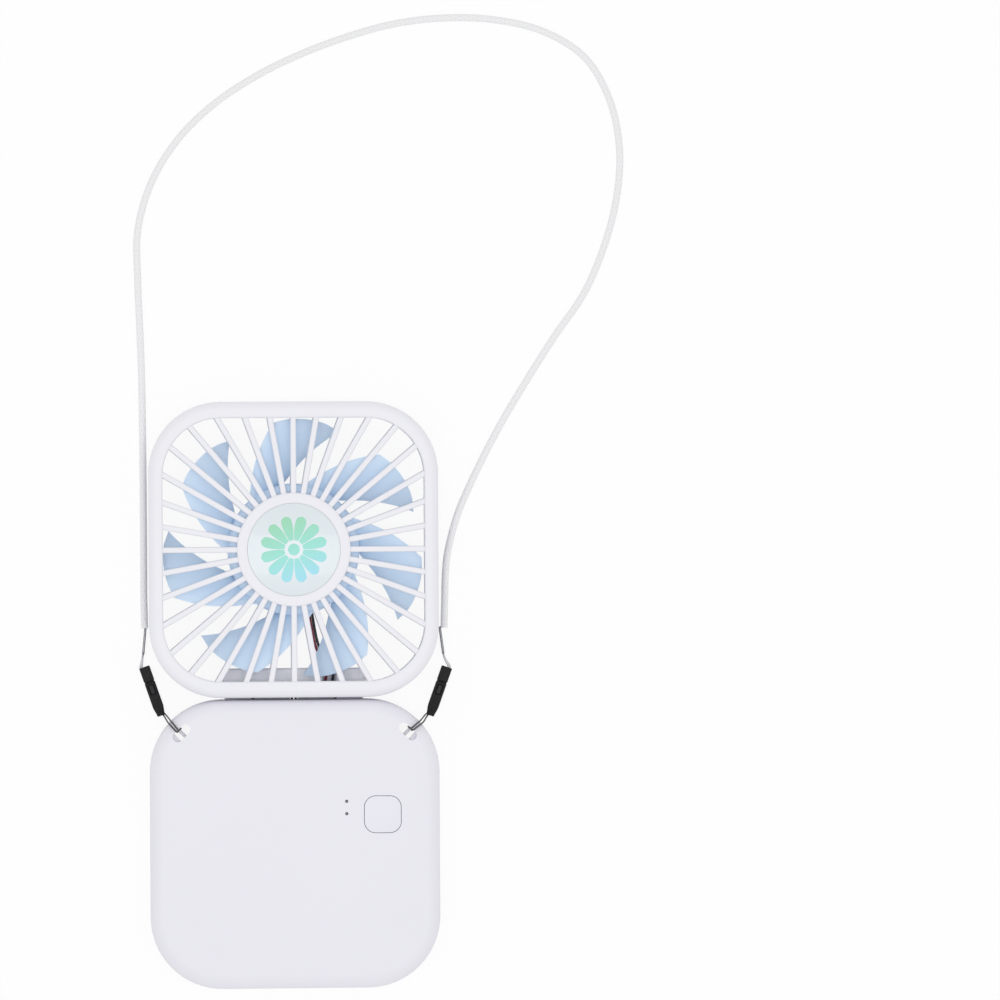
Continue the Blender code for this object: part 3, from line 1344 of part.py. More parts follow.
def make_clip(side, look, latch_look):
    """A lanyard clip in two halves with its latch. Local X runs from its top end to its tip."""
    top, tip = beside(side, CLIPS[side], 0)
    angle = atan2(tip.y - top.y, tip.x - top.x)
    middle = CLIP_LIFT + CLIP_HEIGHT / 2
    frame = empty(f"clip_axis_{side}", top)
    frame.rotation_euler.z = angle
    bm = bmesh.new()
    add_loft(bm, [clip_section(x, CLIP_WIDTH, CLIP_HEIGHT, middle) for x in (0, CLIP_UPPER)])
    piece(f"clip_upper_{side}", bm, look, frame)
    start = CLIP_UPPER + GAP
    mean_width, mean_height = (CLIP_WIDTH + CLIP_TIP_WIDTH) / 2, (CLIP_HEIGHT + CLIP_TIP_HEIGHT) / 2
    sections = (
        (start, CLIP_WIDTH, CLIP_HEIGHT),
        (CLIP_LENGTH - CLIP_SHOULDER, CLIP_WIDTH, CLIP_HEIGHT),
        (CLIP_LENGTH - CLIP_SHOULDER / 4, mean_width, mean_height),
        (CLIP_LENGTH, CLIP_TIP_WIDTH, CLIP_TIP_HEIGHT),
    )
    bm = bmesh.new()
    add_loft(bm, [clip_section(x, width, height, middle) for x, width, height in sections])
    lower = piece(f"clip_lower_{side}", bm, look, frame)
    window = start + LATCH_FROM_SEAM
    high = middle + CLIP_HEIGHT / 2
    bm = bmesh.new()
    floor = high - LATCH_THICK - LATCH_TRAVEL_ROOM
    half = LATCH_WIDTH / 2 + GAP
    add_box(bm, (window - GAP, -half, floor), (window + LATCH_LENGTH + GAP, half, high + OVERRUN))
    shape_with(lower, bm, "DIFFERENCE")
    bm = bmesh.new()
    half = LATCH_WIDTH / 2
    add_box(bm, (0, -half, high - LATCH_THICK), (LATCH_LENGTH, half, high))
    piece(f"clip_latch_{side}", bm, latch_look, frame, (window, 0, 0))


def make_loop(side, look):
    """The thread loop: two strands up the corner of the base, round the bar in the slot."""
    way = -1 if side == "left" else 1
    across = Vector((-way, 1, 0)).normalized()
    near, far = [], []
    for out, y, z, spread in LOOP_FEET[side] + LOOP_RISE:
        (middle,) = beside(side, [(out, y)], z)
        near.append(middle + across * spread)
        far.append(middle - across * spread)
    out, y, z = LOOP_TURN
    (turn,) = beside(side, [(out, y)], z)
    tube(f"strap_loop_{side}", near + [turn] + far[::-1], LOOP_RADIUS, look, spacing=LOOP_SPACING)


def make_lanyard(cord_look, steel, black, latch_look):
    tube("neck_cord", cord_points(), CORD_RADIUS, cord_look, spacing=CORD_SPACING)
    for side in ("left", "right"):
        make_link(side, steel)
        tube(f"clip_thread_{side}", beside(side, THREADS[side], CLIP_HEIGHT / 2), THREAD_RADIUS, cord_look)
        make_clip(side, black, latch_look)
        make_loop(side, black)


def main():
    for obj in list(bpy.data.objects):
        bpy.data.objects.remove(obj)

    white = material("white_plastic", colour(234, 233, 241), 0.42)
    rear_white = material("rear_white_plastic", colour(228, 228, 238), 0.5)
    badge = material("badge_plastic", colour(229, 238, 240), 0.3)
    blue = material("blue_plastic", colour(180, 204, 230), 0.4)
    black = material("black_plastic", colour(45, 45, 46), 0.5)
    grey = material("smoked_plastic", colour(94, 93, 101), 0.3)
    clear = material("clear_plastic", colour(205, 210, 218), 0.2)
    steel = material("steel", colour(140, 141, 146), 0.3, 1)
    dark = material("magnet", colour(52, 51, 54), 0.6)
    copper = material("copper", colour(190, 112, 70), 0.35, 1)
    brass = material("brass", colour(200, 170, 95), 0.35, 1)
    green = material("board_green", colour(26, 92, 58), 0.45)
    foil = material("cell_foil", colour(170, 175, 182), 0.4, 1)
    foam = material("foam_tape", colour(40, 40, 42), 0.9)
    red_wire = material("red_wire", colour(176, 28, 38), 0.45)
    black_wire = material("black_wire", colour(28, 28, 30), 0.45)
    cord = material("white_cord", colour(231, 231, 233), 0.55)

    hinge_axis = empty("hinge_axis", (0, SEAM_Y, HINGE_Z))
    head = empty("head_centre", (0, HEAD_Y - SEAM_Y, -HINGE_Z), hinge_axis)
    rotor = empty("rotor_axis", (0, 0, 0), head)
    base = empty("base_centre", (0, BASE_Y, 0))
    button_axis = empty("button_axis", (BUTTON_X, BUTTON_Y, 0), base)

    make_front_grille(white, head)
    make_badge(badge, head)
    make_rear_grille(rear_white, head)
    make_wire_cover(rear_white, head)
    make_head_screws(steel, head)
    make_impeller(blue, rotor)
    make_motor((steel, dark, copper, brass, green), head, rotor)

    make_front_cover(white, base)
    make_rear_cover(white, base)
    make_base_screws(steel, base)
    make_hinge_pins(steel, base)
    stem_low = make_button(white, button_axis)
    make_switch(dark, black, base, button_axis, stem_low)
    make_board(green, dark, grey, clear, steel, base)
    make_socket(steel, black, base)
    make_cell(foil, foam, base)

    make_wires(red_wire, black_wire, head, base)

    make_lanyard(cord, steel, black, dark)


main()
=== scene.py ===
"""A folding neck fan lying open on its back: the fan head, the battery base and a large loop of cord."""

from math import atan2, ceil, cos, pi, radians, sin

import bmesh
import bpy
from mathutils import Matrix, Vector


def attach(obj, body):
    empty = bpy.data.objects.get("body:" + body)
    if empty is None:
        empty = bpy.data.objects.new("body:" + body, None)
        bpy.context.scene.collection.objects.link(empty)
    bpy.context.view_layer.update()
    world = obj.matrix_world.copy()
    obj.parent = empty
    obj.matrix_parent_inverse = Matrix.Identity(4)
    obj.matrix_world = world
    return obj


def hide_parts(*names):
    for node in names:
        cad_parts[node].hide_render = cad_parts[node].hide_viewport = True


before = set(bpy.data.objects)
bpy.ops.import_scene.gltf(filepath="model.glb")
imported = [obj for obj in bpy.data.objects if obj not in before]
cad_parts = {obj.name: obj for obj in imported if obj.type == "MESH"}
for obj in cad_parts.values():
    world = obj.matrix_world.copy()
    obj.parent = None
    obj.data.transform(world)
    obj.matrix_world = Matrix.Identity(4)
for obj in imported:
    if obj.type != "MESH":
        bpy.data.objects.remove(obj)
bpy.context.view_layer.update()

# Camera: a product photograph taken from far above the open fan with a long lens, slightly from its left.
# The fan lies left of the middle of the picture, so that the whole loop of cord is in the frame.

film_width, lens_length = 36, 198.4
camera_place = (-0.036, 0.052, 1.8)
camera_turns = (radians(0.364), radians(-3.30), radians(-0.35))
camera = bpy.data.objects.new("camera", bpy.data.cameras.new("camera"))
camera.data.sensor_width = film_width
camera.data.lens = lens_length
camera.location = camera_place
camera.rotation_euler = camera_turns
bpy.context.scene.collection.objects.link(camera)
bpy.context.scene.camera = camera

# Neck cord: a round white polyester cord, 2.3 mm thick, braided over a soft core.
# It lies flat on the table in one loop, and each cut end is gathered into a narrow steel link.

seam_y = -0.0012
cord_radius = 0.00115
cord_height = 0.0012
cord_spacing = 0.0012
cord_route = (
    (-0.0484, 0.0229),
    (-0.0485, 0.0272),
    (-0.0486, 0.0332),
    (-0.0486, 0.0430),
    (-0.0486, 0.0596),
    (-0.0487, 0.0839),
    (-0.0489, 0.1037),
    (-0.0494, 0.1200),
    (-0.0500, 0.1362),
    (-0.0499, 0.1525),
    (-0.0454, 0.1681),
    (-0.0368, 0.1820),
    (-0.0252, 0.1934),
    (-0.0116, 0.2025),
    (0.0030, 0.2097),
    (0.0184, 0.2155),
    (0.0342, 0.2198),
    (0.0505, 0.2217),
    (0.0669, 0.2211),
    (0.0828, 0.2173),
    (0.0965, 0.2087),
    (0.1046, 0.1946),
    (0.1077, 0.1785),
    (0.1065, 0.1622),
    (0.1022, 0.1463),
    (0.0956, 0.1313),
    (0.0862, 0.1178),
    (0.0773, 0.1040),
    (0.0688, 0.0900),
    (0.0611, 0.0755),
    (0.0543, 0.0606),
    (0.0508, 0.0483),
    (0.0498, 0.0405),
    (0.0495, 0.0317),
    (0.0492, 0.0224),
)


def smooth_between(a, b, c, d, t):
    """The value a share t of the way from b to c, on a smooth line that comes from a and goes on to d."""
    pull = (c - a) * t + (2 * a - 5 * b + 4 * c - d) * t**2 + (3 * b - a - 3 * c + d) * t**3
    return b + pull / 2


def laid_route(points, spacing, steps=24):
    """Points about a spacing apart on the smooth line of a cord or wire through its own points."""
    points = [Vector(p) for p in points]
    ends = [2 * points[0] - points[1]] + points + [2 * points[-1] - points[-2]]
    dense = []
    for a, b, c, d in zip(ends, ends[1:], ends[2:], ends[3:]):
        dense += [smooth_between(a, b, c, d, k / steps) for k in range(steps)]
    dense.append(points[-1])
    along = [0]
    for a, b in zip(dense, dense[1:]):
        along.append(along[-1] + (b - a).length)
    count = max(2, ceil(along[-1] / spacing))
    route, here = [], 0
    for k in range(count + 1):
        wanted = along[-1] * k / count
        while here < len(along) - 2 and along[here + 1] < wanted:
            here += 1
        step = along[here + 1] - along[here]
        share = (wanted - along[here]) / step if step else 0
        route.append(dense[here].lerp(dense[here + 1], min(share, 1)))
    return route


def paint(red, green, blue):
    """A colour from its 0 to 255 values, in the linear values that a shader takes."""
    values = [part / 255 for part in (red, green, blue)]
    return [v / 12.92 if v <= 0.04045 else ((v + 0.055) / 1.055) ** 2.4 for v in values] + [1]


def new_finish(name, roughness, metallic=0):
    """An empty finish: its node tree, and the shader with its plain values set."""
    finish = bpy.data.materials.new(name)
    finish.use_nodes = True
    shader = finish.node_tree.nodes["Principled BSDF"]
    shader.inputs["Roughness"].default_value = roughness
    shader.inputs["Metallic"].default_value = metallic
    return finish, finish.node_tree, shader


def calc(tree, operation, first, second=None):
    """A maths node on sockets or numbers, and its result."""
    node = tree.nodes.new("ShaderNodeMath")
    node.operation = operation
    for socket, value in zip(node.inputs, (first, second)):
        if isinstance(value, (int, float)):
            socket.default_value = value
        elif value is not None:
            tree.links.new(value, socket)
    return node.outputs[0]


def scaled(tree, value, factor, offset):
    """A value times a factor, plus an offset."""
    return calc(tree, "ADD", calc(tree, "MULTIPLY", value, factor), offset)


def axes_of(tree, coordinate):
    """The three axes of a texture coordinate, such as Object or UV."""
    split = tree.nodes.new("ShaderNodeSeparateXYZ")
    tree.links.new(tree.nodes.new("ShaderNodeTexCoord").outputs[coordinate], split.inputs[0])
    return split.outputs


def blended_colour(tree, factor, low_colour, high_colour):
    """A colour that runs between two colours, each plain or from a socket, with a factor."""
    mix = tree.nodes.new("ShaderNodeMix")
    mix.data_type = "RGBA"
    tree.links.new(factor, mix.inputs["Factor"])
    for side, colour in (("A", low_colour), ("B", high_colour)):
        if isinstance(colour, list):
            mix.inputs[side].default_value = colour
        else:
            tree.links.new(colour, mix.inputs[side])
    return mix.outputs["Result"]


def tinted(tree, shader, factor, low_colour, high_colour):
    """The base colour runs between two colours with a factor."""
    tree.links.new(blended_colour(tree, factor, low_colour, high_colour), shader.inputs["Base Color"])


def embossed(tree, shader, height, depth):
    """The surface rises and falls by a depth in metres with a height from 0 to 1."""
    bump = tree.nodes.new("ShaderNodeBump")
    bump.inputs["Strength"].default_value = 1
    bump.inputs["Distance"].default_value = depth
    tree.links.new(height, bump.inputs["Height"])
    tree.links.new(bump.outputs["Normal"], shader.inputs["Normal"])


def braided(name, light, groove_shade, strands, pitch, depth):
    """A braid: two sets of strands that cross, drawn round the cord (u) and along it (v, in metres), with
    painted shade in its grooves.
    """
    finish, tree, shader = new_finish(name, roughness=0.7)
    shader.inputs["Sheen Weight"].default_value = 0.25
    uv = axes_of(tree, "UV")
    across = calc(tree, "MULTIPLY", uv["X"], strands * 2 * pi)
    along = calc(tree, "MULTIPLY", uv["Y"], 2 * pi / pitch)
    one_way = calc(tree, "SINE", calc(tree, "ADD", across, along))
    other_way = calc(tree, "SINE", calc(tree, "SUBTRACT", across, along))
    height = calc(tree, "MAXIMUM", one_way, other_way)
    # Painted shade and light: the colour follows the strand height, darker in the grooves between strands and
    # lighter on their crowns.
    tinted(tree, shader, scaled(tree, height, 0.5, 0.5), groove_shade, light)
    embossed(tree, shader, height, depth)
    return finish


def cord_mesh(name, centres, radius, sides=20, closed=False):
    """A round cord along its centres, with u round it and v along it in metres."""
    count = len(centres)
    ways = []
    for k in range(count):
        before = centres[k - 1] if k or closed else centres[0]
        after = centres[(k + 1) % count] if k < count - 1 or closed else centres[-1]
        ways.append((after - before).normalized())
    side = ways[0].cross(Vector((0, 0, 1)))
    if side.length < 0.1:
        side = ways[0].cross(Vector((1, 0, 0)))
    turns = [2 * pi * n / sides for n in range(sides)]
    rings, bm = [], bmesh.new()
    travelled, distances = 0, [0]
    for k, (centre, way) in enumerate(zip(centres, ways)):
        side = (side - way * side.dot(way)).normalized()
        up = way.cross(side)
        rings.append([bm.verts.new(centre + (side * cos(a) + up * sin(a)) * radius) for a in turns])
        if k:
            travelled += (centre - centres[k - 1]).length
            distances.append(travelled)
    layer = bm.loops.layers.uv.new("cord")
    spans = list(zip(range(count), range(1, count)))
    if closed:
        spans.append((count - 1, 0))
    for a, b in spans:
        far = distances[b] if b else travelled + (centres[0] - centres[-1]).length
        for n in range(sides):
            m = (n + 1) % sides
            face = bm.faces.new((rings[a][n], rings[a][m], rings[b][m], rings[b][n]))
            corners = ((n, distances[a]), (n + 1, distances[a]), (n + 1, far), (n, far))
            for loop, (u, v) in zip(face.loops, corners):
                loop[layer].uv = (u / sides, v)
    if not closed:
        bm.faces.new(rings[0])
        bm.faces.new(rings[-1])
    return mesh_from(name, bm)


def mesh_from(name, bm):
    """A mesh of a finished build, with all its faces turned outwards."""
    bmesh.ops.recalc_face_normals(bm, faces=bm.faces[:])
    mesh = bpy.data.meshes.new(name)
    bm.to_mesh(mesh)
    bm.free()
    return mesh


def smoothed(mesh, sharp):
    """Smooth shading, with edges sharper than a number of degrees left crisp."""
    mesh.shade_smooth()
    mesh.set_sharp_from_angle(angle=radians(sharp))


def mounted(name, mesh, finish, body, nodes=(), sharp=40):
    """Puts a finished piece on the body that it moves with, in place of its plain solids."""
    smoothed(mesh, sharp)
    mesh.materials.clear()
    mesh.materials.append(finish)
    piece = bpy.data.objects.new(name, mesh)
    bpy.context.scene.collection.objects.link(piece)
    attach(piece, body)
    if nodes:
        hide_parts(*nodes)
    return piece


def from_seam(points, height):
    """Flat points measured from the middle of the seam, lifted to a height."""
    return [Vector((x, seam_y + y, height)) for x, y in points]


# The cord's darker braid colour is painted shade for the grooves between its strands.
braid_light, braid_groove_shade = paint(243, 243, 244), paint(233, 233, 236)
white_braid = braided("white_braid", braid_light, braid_groove_shade, 6, pitch=0.0030, depth=0.00002)
cord_centres = laid_route(from_seam(cord_route, cord_height), cord_spacing)
neck_cord_mesh = cord_mesh("braided_neck_cord", cord_centres, cord_radius, 24)
neck_cord = mounted("braided_neck_cord", neck_cord_mesh, white_braid, "base", ["neck_cord"])

# Cord links: narrow closed loops of bright spring wire at the cord's ends, standing on edge.
# Each is bent from one length of 0.8 mm wire and holds the cord above and a thread below.

link_ends = {
    "left": ((-0.0481, 0.0231), (-0.0489, 0.0145)),
    "right": ((0.0478, 0.0225), (0.0489, 0.0141)),
}
link_wire = 0.0004
link_rise = 0.00075
link_lift = 0.0001
link_bend_steps = 16


def texture(tree, kind, values, place=None):
    """A texture that is fixed to the piece itself, with its inputs set."""
    node = tree.nodes.new(kind)
    for name, value in values.items():
        node.inputs[name].default_value = value
    if place is None:
        place = tree.nodes.new("ShaderNodeTexCoord").outputs["Object"]
    tree.links.new(place, node.inputs["Vector"])
    return node


def speckle(tree, scale, detail):
    """Fine noise over a piece, from 0 to 1."""
    return texture(tree, "ShaderNodeTexNoise", {"Scale": scale, "Detail": detail}).outputs["Fac"]


def darker(colour, share):
    """A colour with a share of its light."""
    return [part * share for part in colour[:3]] + [1]


def drawn_wire(name, colour, roughness):
    """Bright metal with fine marks from drawing or turning, and a slightly uneven polish."""
    finish, tree, shader = new_finish(name, roughness, metallic=1)
    marks = speckle(tree, 1800, 4)
    tinted(tree, shader, marks, darker(colour, 0.8), colour)
    tree.links.new(scaled(tree, marks, 0.2, roughness - 0.1), shader.inputs["Roughness"])
    embossed(tree, shader, marks, 0.00001)
    return finish


bright_wire = drawn_wire("bright_wire", paint(150, 151, 156), 0.3)
for side, ends in link_ends.items():
    start, end = from_seam(ends, link_rise + link_wire + link_lift)
    way = (end - start).normalized()
    start, end = start + way * link_rise, end - way * link_rise
    bend = []
    for middle, turn in ((start, -1), (end, 1)):
        for k in range(link_bend_steps + 1):
            angle = pi * k / link_bend_steps
            lift = Vector((0, 0, link_rise * turn * -cos(angle)))
            bend.append(middle + way * turn * link_rise * sin(angle) + lift)
    link_mesh = cord_mesh(f"wire_link_{side}", bend, link_wire, 12, closed=True)
    link = mounted(f"wire_link_{side}", link_mesh, bright_wire, "base", [f"cord_link_{side}"])

# Clip threads: short white threads, two strands that spread from the link to the top of the clip.
# They are laid polyester yarn, knotted inside the clip's upper half.

thread_routes = {
    "left": (
        (-0.0490, 0.0143), (-0.04915, 0.0128), (-0.04925, 0.0117), (-0.04935, 0.0108), (-0.0495, 0.0095)
    ),
    "right": ((0.0489, 0.0139), (0.0495, 0.0124), (0.0502, 0.0112), (0.0508, 0.0104), (0.0513, 0.0087)),
}
thread_height = 0.0013
thread_spacing = 0.0003
thread_radius = 0.00031
thread_spread = 0.0006
# The yarn's second, darker colour is painted shade in the grooves between strands; the first is its crown.
white_yarn = braided("white_yarn", paint(226, 226, 229), paint(184, 184, 189), 3, pitch=0.0009, depth=0.00003)
for side, route in thread_routes.items():
    centres = laid_route(from_seam(route, thread_height), thread_spacing)
    thread_mesh = cord_mesh(f"thread_pair_{side}", centres, thread_radius, 10)
    across = (centres[-1] - centres[0]).cross(Vector((0, 0, 1))).normalized()
    fork = [c + across * thread_spread * (k / len(centres)) for k, c in enumerate(centres)]
    fork_mesh = cord_mesh("fork", fork, thread_radius, 10)
    strand = bmesh.new()
    strand.from_mesh(thread_mesh)
    strand.from_mesh(fork_mesh)
    strand.to_mesh(thread_mesh)
    strand.free()
    bpy.data.meshes.remove(fork_mesh)
    replaced = [f"clip_thread_{side}"]
    piece = mounted(f"thread_pair_{side}", thread_mesh, white_yarn, "base", replaced)

# Quick-release clips: black nylon, moulded in two halves that part when the small latch is pressed.
# The upper half is a plain block with a short plug, and the lower half tapers to the loop that it holds.

clip_ends = {
    "left": ((-0.0486, 0.0103), (-0.0431, -0.0056)),
    "right": ((0.0501, 0.0096), (0.04445, -0.0061)),
}
clip_width, clip_height = 0.0035, 0.0026
clip_lift = 0.0001
clip_length = 0.0168
clip_upper_length = 0.0050
clip_joint = 0.0003
clip_split = clip_upper_length + clip_joint
clip_middle = clip_lift + clip_height / 2
clip_face = clip_middle + clip_height / 2
clip_shoulder = 0.0032
clip_tip_width, clip_tip_height = 0.0026, 0.0018
clip_soft_edge, clip_soft_end = 0.0005, 0.0002
clip_taper_shares = (0, 0.15, 0.35, 0.6, 0.85, 1)
plug_width, plug_height = clip_width - 0.0003, clip_height - 0.0012
plug_edge, plug_reach = 0.0002, 0.0008
latch_long, latch_wide, latch_thick = 0.0030, 0.0014, 0.0008
latch_from_joint = 0.0010
latch_corner, latch_soft_edge = 0.0003, 0.00015
latch_gap, latch_floor = 0.0003, 0.0004
grip_places = (0.0062, 0.0072, 0.0082)
grip_half, grip_depth = 0.00016, 0.00018
overrun = 0.001


def rounded_outline(half_x, half_y, radius, centre=(0, 0), steps=8):
    """Points round a rectangle with round corners, counter-clockwise."""
    points = []
    for quarter, (sx, sy) in enumerate(((1, 1), (-1, 1), (-1, -1), (1, -1))):
        x, y = centre[0] + sx * (half_x - radius), centre[1] + sy * (half_y - radius)
        for k in range(steps + 1):
            angle = (quarter + k / steps) * pi / 2
            points.append((x + radius * cos(angle), y + radius * sin(angle)))
    return points


def add_skin(bm, loops, ring=False):
    """A closed skin over equal loops of points, capped at both ends, or joined end to end as a ring."""
    rows = [[bm.verts.new(point) for point in loop] for loop in loops]
    pairs = list(zip(rows, rows[1:]))
    if ring:
        pairs.append((rows[-1], rows[0]))
    for low, high in pairs:
        for k in range(len(low)):
            m = (k + 1) % len(low)
            bm.faces.new((low[k], low[m], high[m], high[k]))
    if not ring:
        bm.faces.new(list(reversed(rows[0])))
        bm.faces.new(rows[-1])


def moulded(name, colour, roughness, grain_depth=0.000006, shade=0.965, coat=0.0, shine=0.5):
    """Moulded plastic: a fine satin grain from the tool, faint clouding of the colour, uneven gloss."""
    finish, tree, shader = new_finish(name, roughness)
    shader.inputs["Coat Weight"].default_value = coat
    shader.inputs["Specular IOR Level"].default_value = shine
    tinted(tree, shader, speckle(tree, 45, 3), darker(colour, shade), colour)
    grain = speckle(tree, 3200, 2)
    tree.links.new(scaled(tree, grain, 0.12, roughness - 0.06), shader.inputs["Roughness"])
    embossed(tree, shader, grain, grain_depth)
    return finish


def carve(piece, bm, operation="DIFFERENCE"):
    """Cuts shapes out of a piece, or joins them to it, and keeps only the result."""
    cutter = bpy.data.objects.new("cutter", mesh_from("cutter", bm))
    bpy.context.scene.collection.objects.link(cutter)
    modifier = piece.modifiers.new("carve", "BOOLEAN")
    modifier.operation = operation
    modifier.solver = "EXACT"
    modifier.object = cutter
    graph = bpy.context.evaluated_depsgraph_get()
    done = bpy.data.meshes.new_from_object(piece.evaluated_get(graph))
    piece.modifiers.clear()
    old, piece.data = piece.data, done
    spent = cutter.data
    bpy.data.objects.remove(cutter)
    bpy.data.meshes.remove(spent)
    bpy.data.meshes.remove(old)


def clip_loop(clip, x, width, height, edge=clip_soft_edge):
    """The outline across a clip, a distance along it from its top."""
    top, out, across = clip
    outline = rounded_outline(width / 2, height / 2, min(edge, height / 2.2), steps=5)
    return [top + out * x + across * y + Vector((0, 0, clip_middle + z)) for y, z in outline]


def latch_loop(clip, grow, z):
    """The outline of the latch seen from above, or of its recess, at a height."""
    top, out, across = clip
    corners = rounded_outline(latch_long / 2 + grow, latch_wide / 2 + grow, latch_corner + grow / 2, steps=4)
    start = clip_split + latch_from_joint + latch_long / 2
    return [top + out * (start + x) + across * y + Vector((0, 0, z)) for x, y in corners]


def clip_sections():
    """Places along the lower half with its width and height: a block that eases down to a narrow tip."""
    soft = clip_soft_end
    sections = [(clip_split, clip_width - 2 * soft, clip_height - 2 * soft)]
    sections.append((clip_split + soft, clip_width, clip_height))
    for share in clip_taper_shares:
        ease = share * share * (3 - 2 * share)
        width = clip_width + (clip_tip_width - clip_width) * ease
        height = clip_height + (clip_tip_height - clip_height) * ease
        sections.append((clip_length - clip_shoulder * (1 - share) - soft, width, height))
    sections.append((clip_length, clip_tip_width - 2 * soft, clip_tip_height - 2 * soft))
    return sections


black_nylon = moulded("black_nylon", paint(27, 27, 29), 0.6, grain_depth=0.00001, shade=0.8, shine=0.25)
latch_nylon = moulded("latch_nylon", paint(38, 38, 41), 0.55, grain_depth=0.00001, shade=0.85, shine=0.3)
for side, ends in clip_ends.items():
    top, tip = from_seam(ends, 0)
    turn = atan2(tip.y - top.y, tip.x - top.x)
    out, across = Vector((cos(turn), sin(turn), 0)), Vector((-sin(turn), cos(turn), 0))
    clip = (top, out, across)
    soft = clip_soft_end
    upper = [(0, soft), (soft, 0), (clip_upper_length - soft, 0), (clip_upper_length, soft)]
    upper_half = bmesh.new()
    add_skin(upper_half, [clip_loop(clip, x, clip_width - 2 * s, clip_height - 2 * s) for x, s in upper])
    upper_mesh = mesh_from(f"clip_top_half_{side}", upper_half)
    plug = bmesh.new()
    plug.from_mesh(upper_mesh)
    plug_ends = (clip_upper_length - plug_reach, clip_split + plug_reach)
    add_skin(plug, [clip_loop(clip, x, plug_width, plug_height, plug_edge) for x in plug_ends])
    plug.to_mesh(upper_mesh)
    plug.free()
    mounted(f"clip_top_half_{side}", upper_mesh, black_nylon, "base", [f"clip_upper_{side}"])
    lower_half = bmesh.new()
    add_skin(lower_half, [clip_loop(clip, *section) for section in clip_sections()])
    lower_mesh = mesh_from(f"clip_tail_half_{side}", lower_half)
    replaced = [f"clip_lower_{side}"]
    tail = mounted(f"clip_tail_half_{side}", lower_mesh, black_nylon, "base", replaced)
    recess = bmesh.new()
    recess_heights = (clip_face - latch_thick - latch_floor, clip_face + overrun)
    add_skin(recess, [latch_loop(clip, latch_gap, z) for z in recess_heights])
    carve(tail, recess)
    for at in grip_places:
        low, high = clip_face - grip_depth, clip_face + overrun
        lines = []
        for x, z in ((-grip_half, low), (-grip_half, high), (grip_half, high), (grip_half, low)):
            middle = top + out * (clip_split + at + x)
            lines.append([middle + across * y + Vector((0, 0, z)) for y in (-clip_width, clip_width)])
        groove = bmesh.new()
        add_skin(groove, ([line[0] for line in lines], [line[1] for line in lines]))
        carve(tail, groove)
    smoothed(tail.data, 40)
    pad = bmesh.new()
    pad_rows = ((0, clip_face - latch_thick), (0, clip_face - latch_soft_edge), (-latch_soft_edge, clip_face))
    add_skin(pad, [latch_loop(clip, grow, z) for grow, z in pad_rows])
    latch_mesh = mesh_from(f"latch_pad_{side}", pad)
    mounted(f"latch_pad_{side}", latch_mesh, latch_nylon, f"latch_{side}", [f"clip_latch_{side}"])

# Strap loops: thin black twisted thread from each clip, up the corner of the base and into its slot.
# The two strands part round the bar that is moulded across the slot, and meet under it.

loop_feet = {"left": (0.0425, -0.0049), "right": (0.0440, -0.0055)}
loop_entry = (0.0379, -0.0100)
loop_climb = (
    (0, 0.0014, 0.0003),
    (0.10, 0.0018, 0.00035),
    (0.18, 0.0042, 0.0004),
    (0.27, 0.0080, 0.00045),
    (0.36, 0.0120, 0.0005),
    (0.49, 0.0162, 0.0005),
    (0.73, 0.0180, 0.00047),
    (1, 0.01838, 0.0004),
)
loop_dive = (
    (0.03750, -0.00993, 0.0182, 0.0004),
    (0.03738, -0.00992, 0.0176, 0.0005),
    (0.03738, -0.00992, 0.0168, 0.0006),
    (0.03738, -0.00993, 0.0160, 0.00075),
    (0.03738, -0.00993, 0.0152, 0.00082),
    (0.03738, -0.00993, 0.0143, 0.0008),
)
loop_turn = (0.03738, -0.00993, 0.0132)
loop_radius = 0.00027
loop_spacing = 0.0004
# The thread's lighter colour is painted light on the strand crowns, the darker one painted shade in the
# grooves.
black_thread = braided("black_thread", paint(84, 80, 84), paint(36, 34, 38), 2, pitch=0.0011, depth=0.00005)
for side, way in (("left", -1), ("right", 1)):
    tangent = Vector((-way, 1, 0)).normalized()
    foot, entry = Vector(loop_feet[side]), Vector(loop_entry)
    climb = [(*foot.lerp(entry, share), height, spread) for share, height, spread in loop_climb]
    near, far = [], []
    for x, y, z, spread in climb + list(loop_dive):
        middle = Vector((way * x, seam_y + y, z))
        near.append(middle + tangent * spread)
        far.append(middle - tangent * spread)
    turn = Vector((way * loop_turn[0], seam_y + loop_turn[1], loop_turn[2]))
    strands = laid_route(near + [turn] + far[::-1], loop_spacing)
    strap_mesh = cord_mesh(f"thread_loop_{side}", strands, loop_radius, 12)
    replaced = [f"strap_loop_{side}"]
    strap = mounted(f"thread_loop_{side}", strap_mesh, black_thread, "base", replaced)

# Base covers: two white ABS trays that meet at a fine line round the side, screwed together from the back.
# The face is broadly rounded; at its upper corners it is pierced by the slots for the lanyard.

base_y = -0.0483
base_half = (0.0469, 0.0467)
corner_radius = 0.0234
front_z = 0.018
base_split = 0.0075
base_front_edge = 0.0045
base_back_edge = 0.0020
base_wall = 0.0016
face_wall = 0.0018
parting_gap, parting_edge = 0.00015, 0.00012
rib_root = 0.0008
slot_centre = (0.03651, 0.03631)
slot_long = 0.0068
slot_width = 0.0032
slot_flare = 0.0016
slot_wall = 0.0012
bar_height, bar_reach = 0.0149, 0.0024
bar_half, bar_edge = (0.0005, 0.0006), 0.0003
sill_heights = (0.0146, 0.0164)
sill_root, sill_depth, sill_half = 0.0004, 0.0014, 0.0022
button_centre = (0.02825, 0.0096)
button_half = 0.0059
button_corner = 0.0036
button_groove = 0.00016
button_lip = 0.00016
light_holes = ((0.0166, 0.0139), (0.0166, 0.0099))
light_hole_radius = 0.0005
hole_depth, hole_lip = 0.003, 0.0001
socket_centre = (0.02275, 0.0114)
socket_half, socket_corner = (0.00475, 0.0019), 0.00185
socket_depth = 0.0028
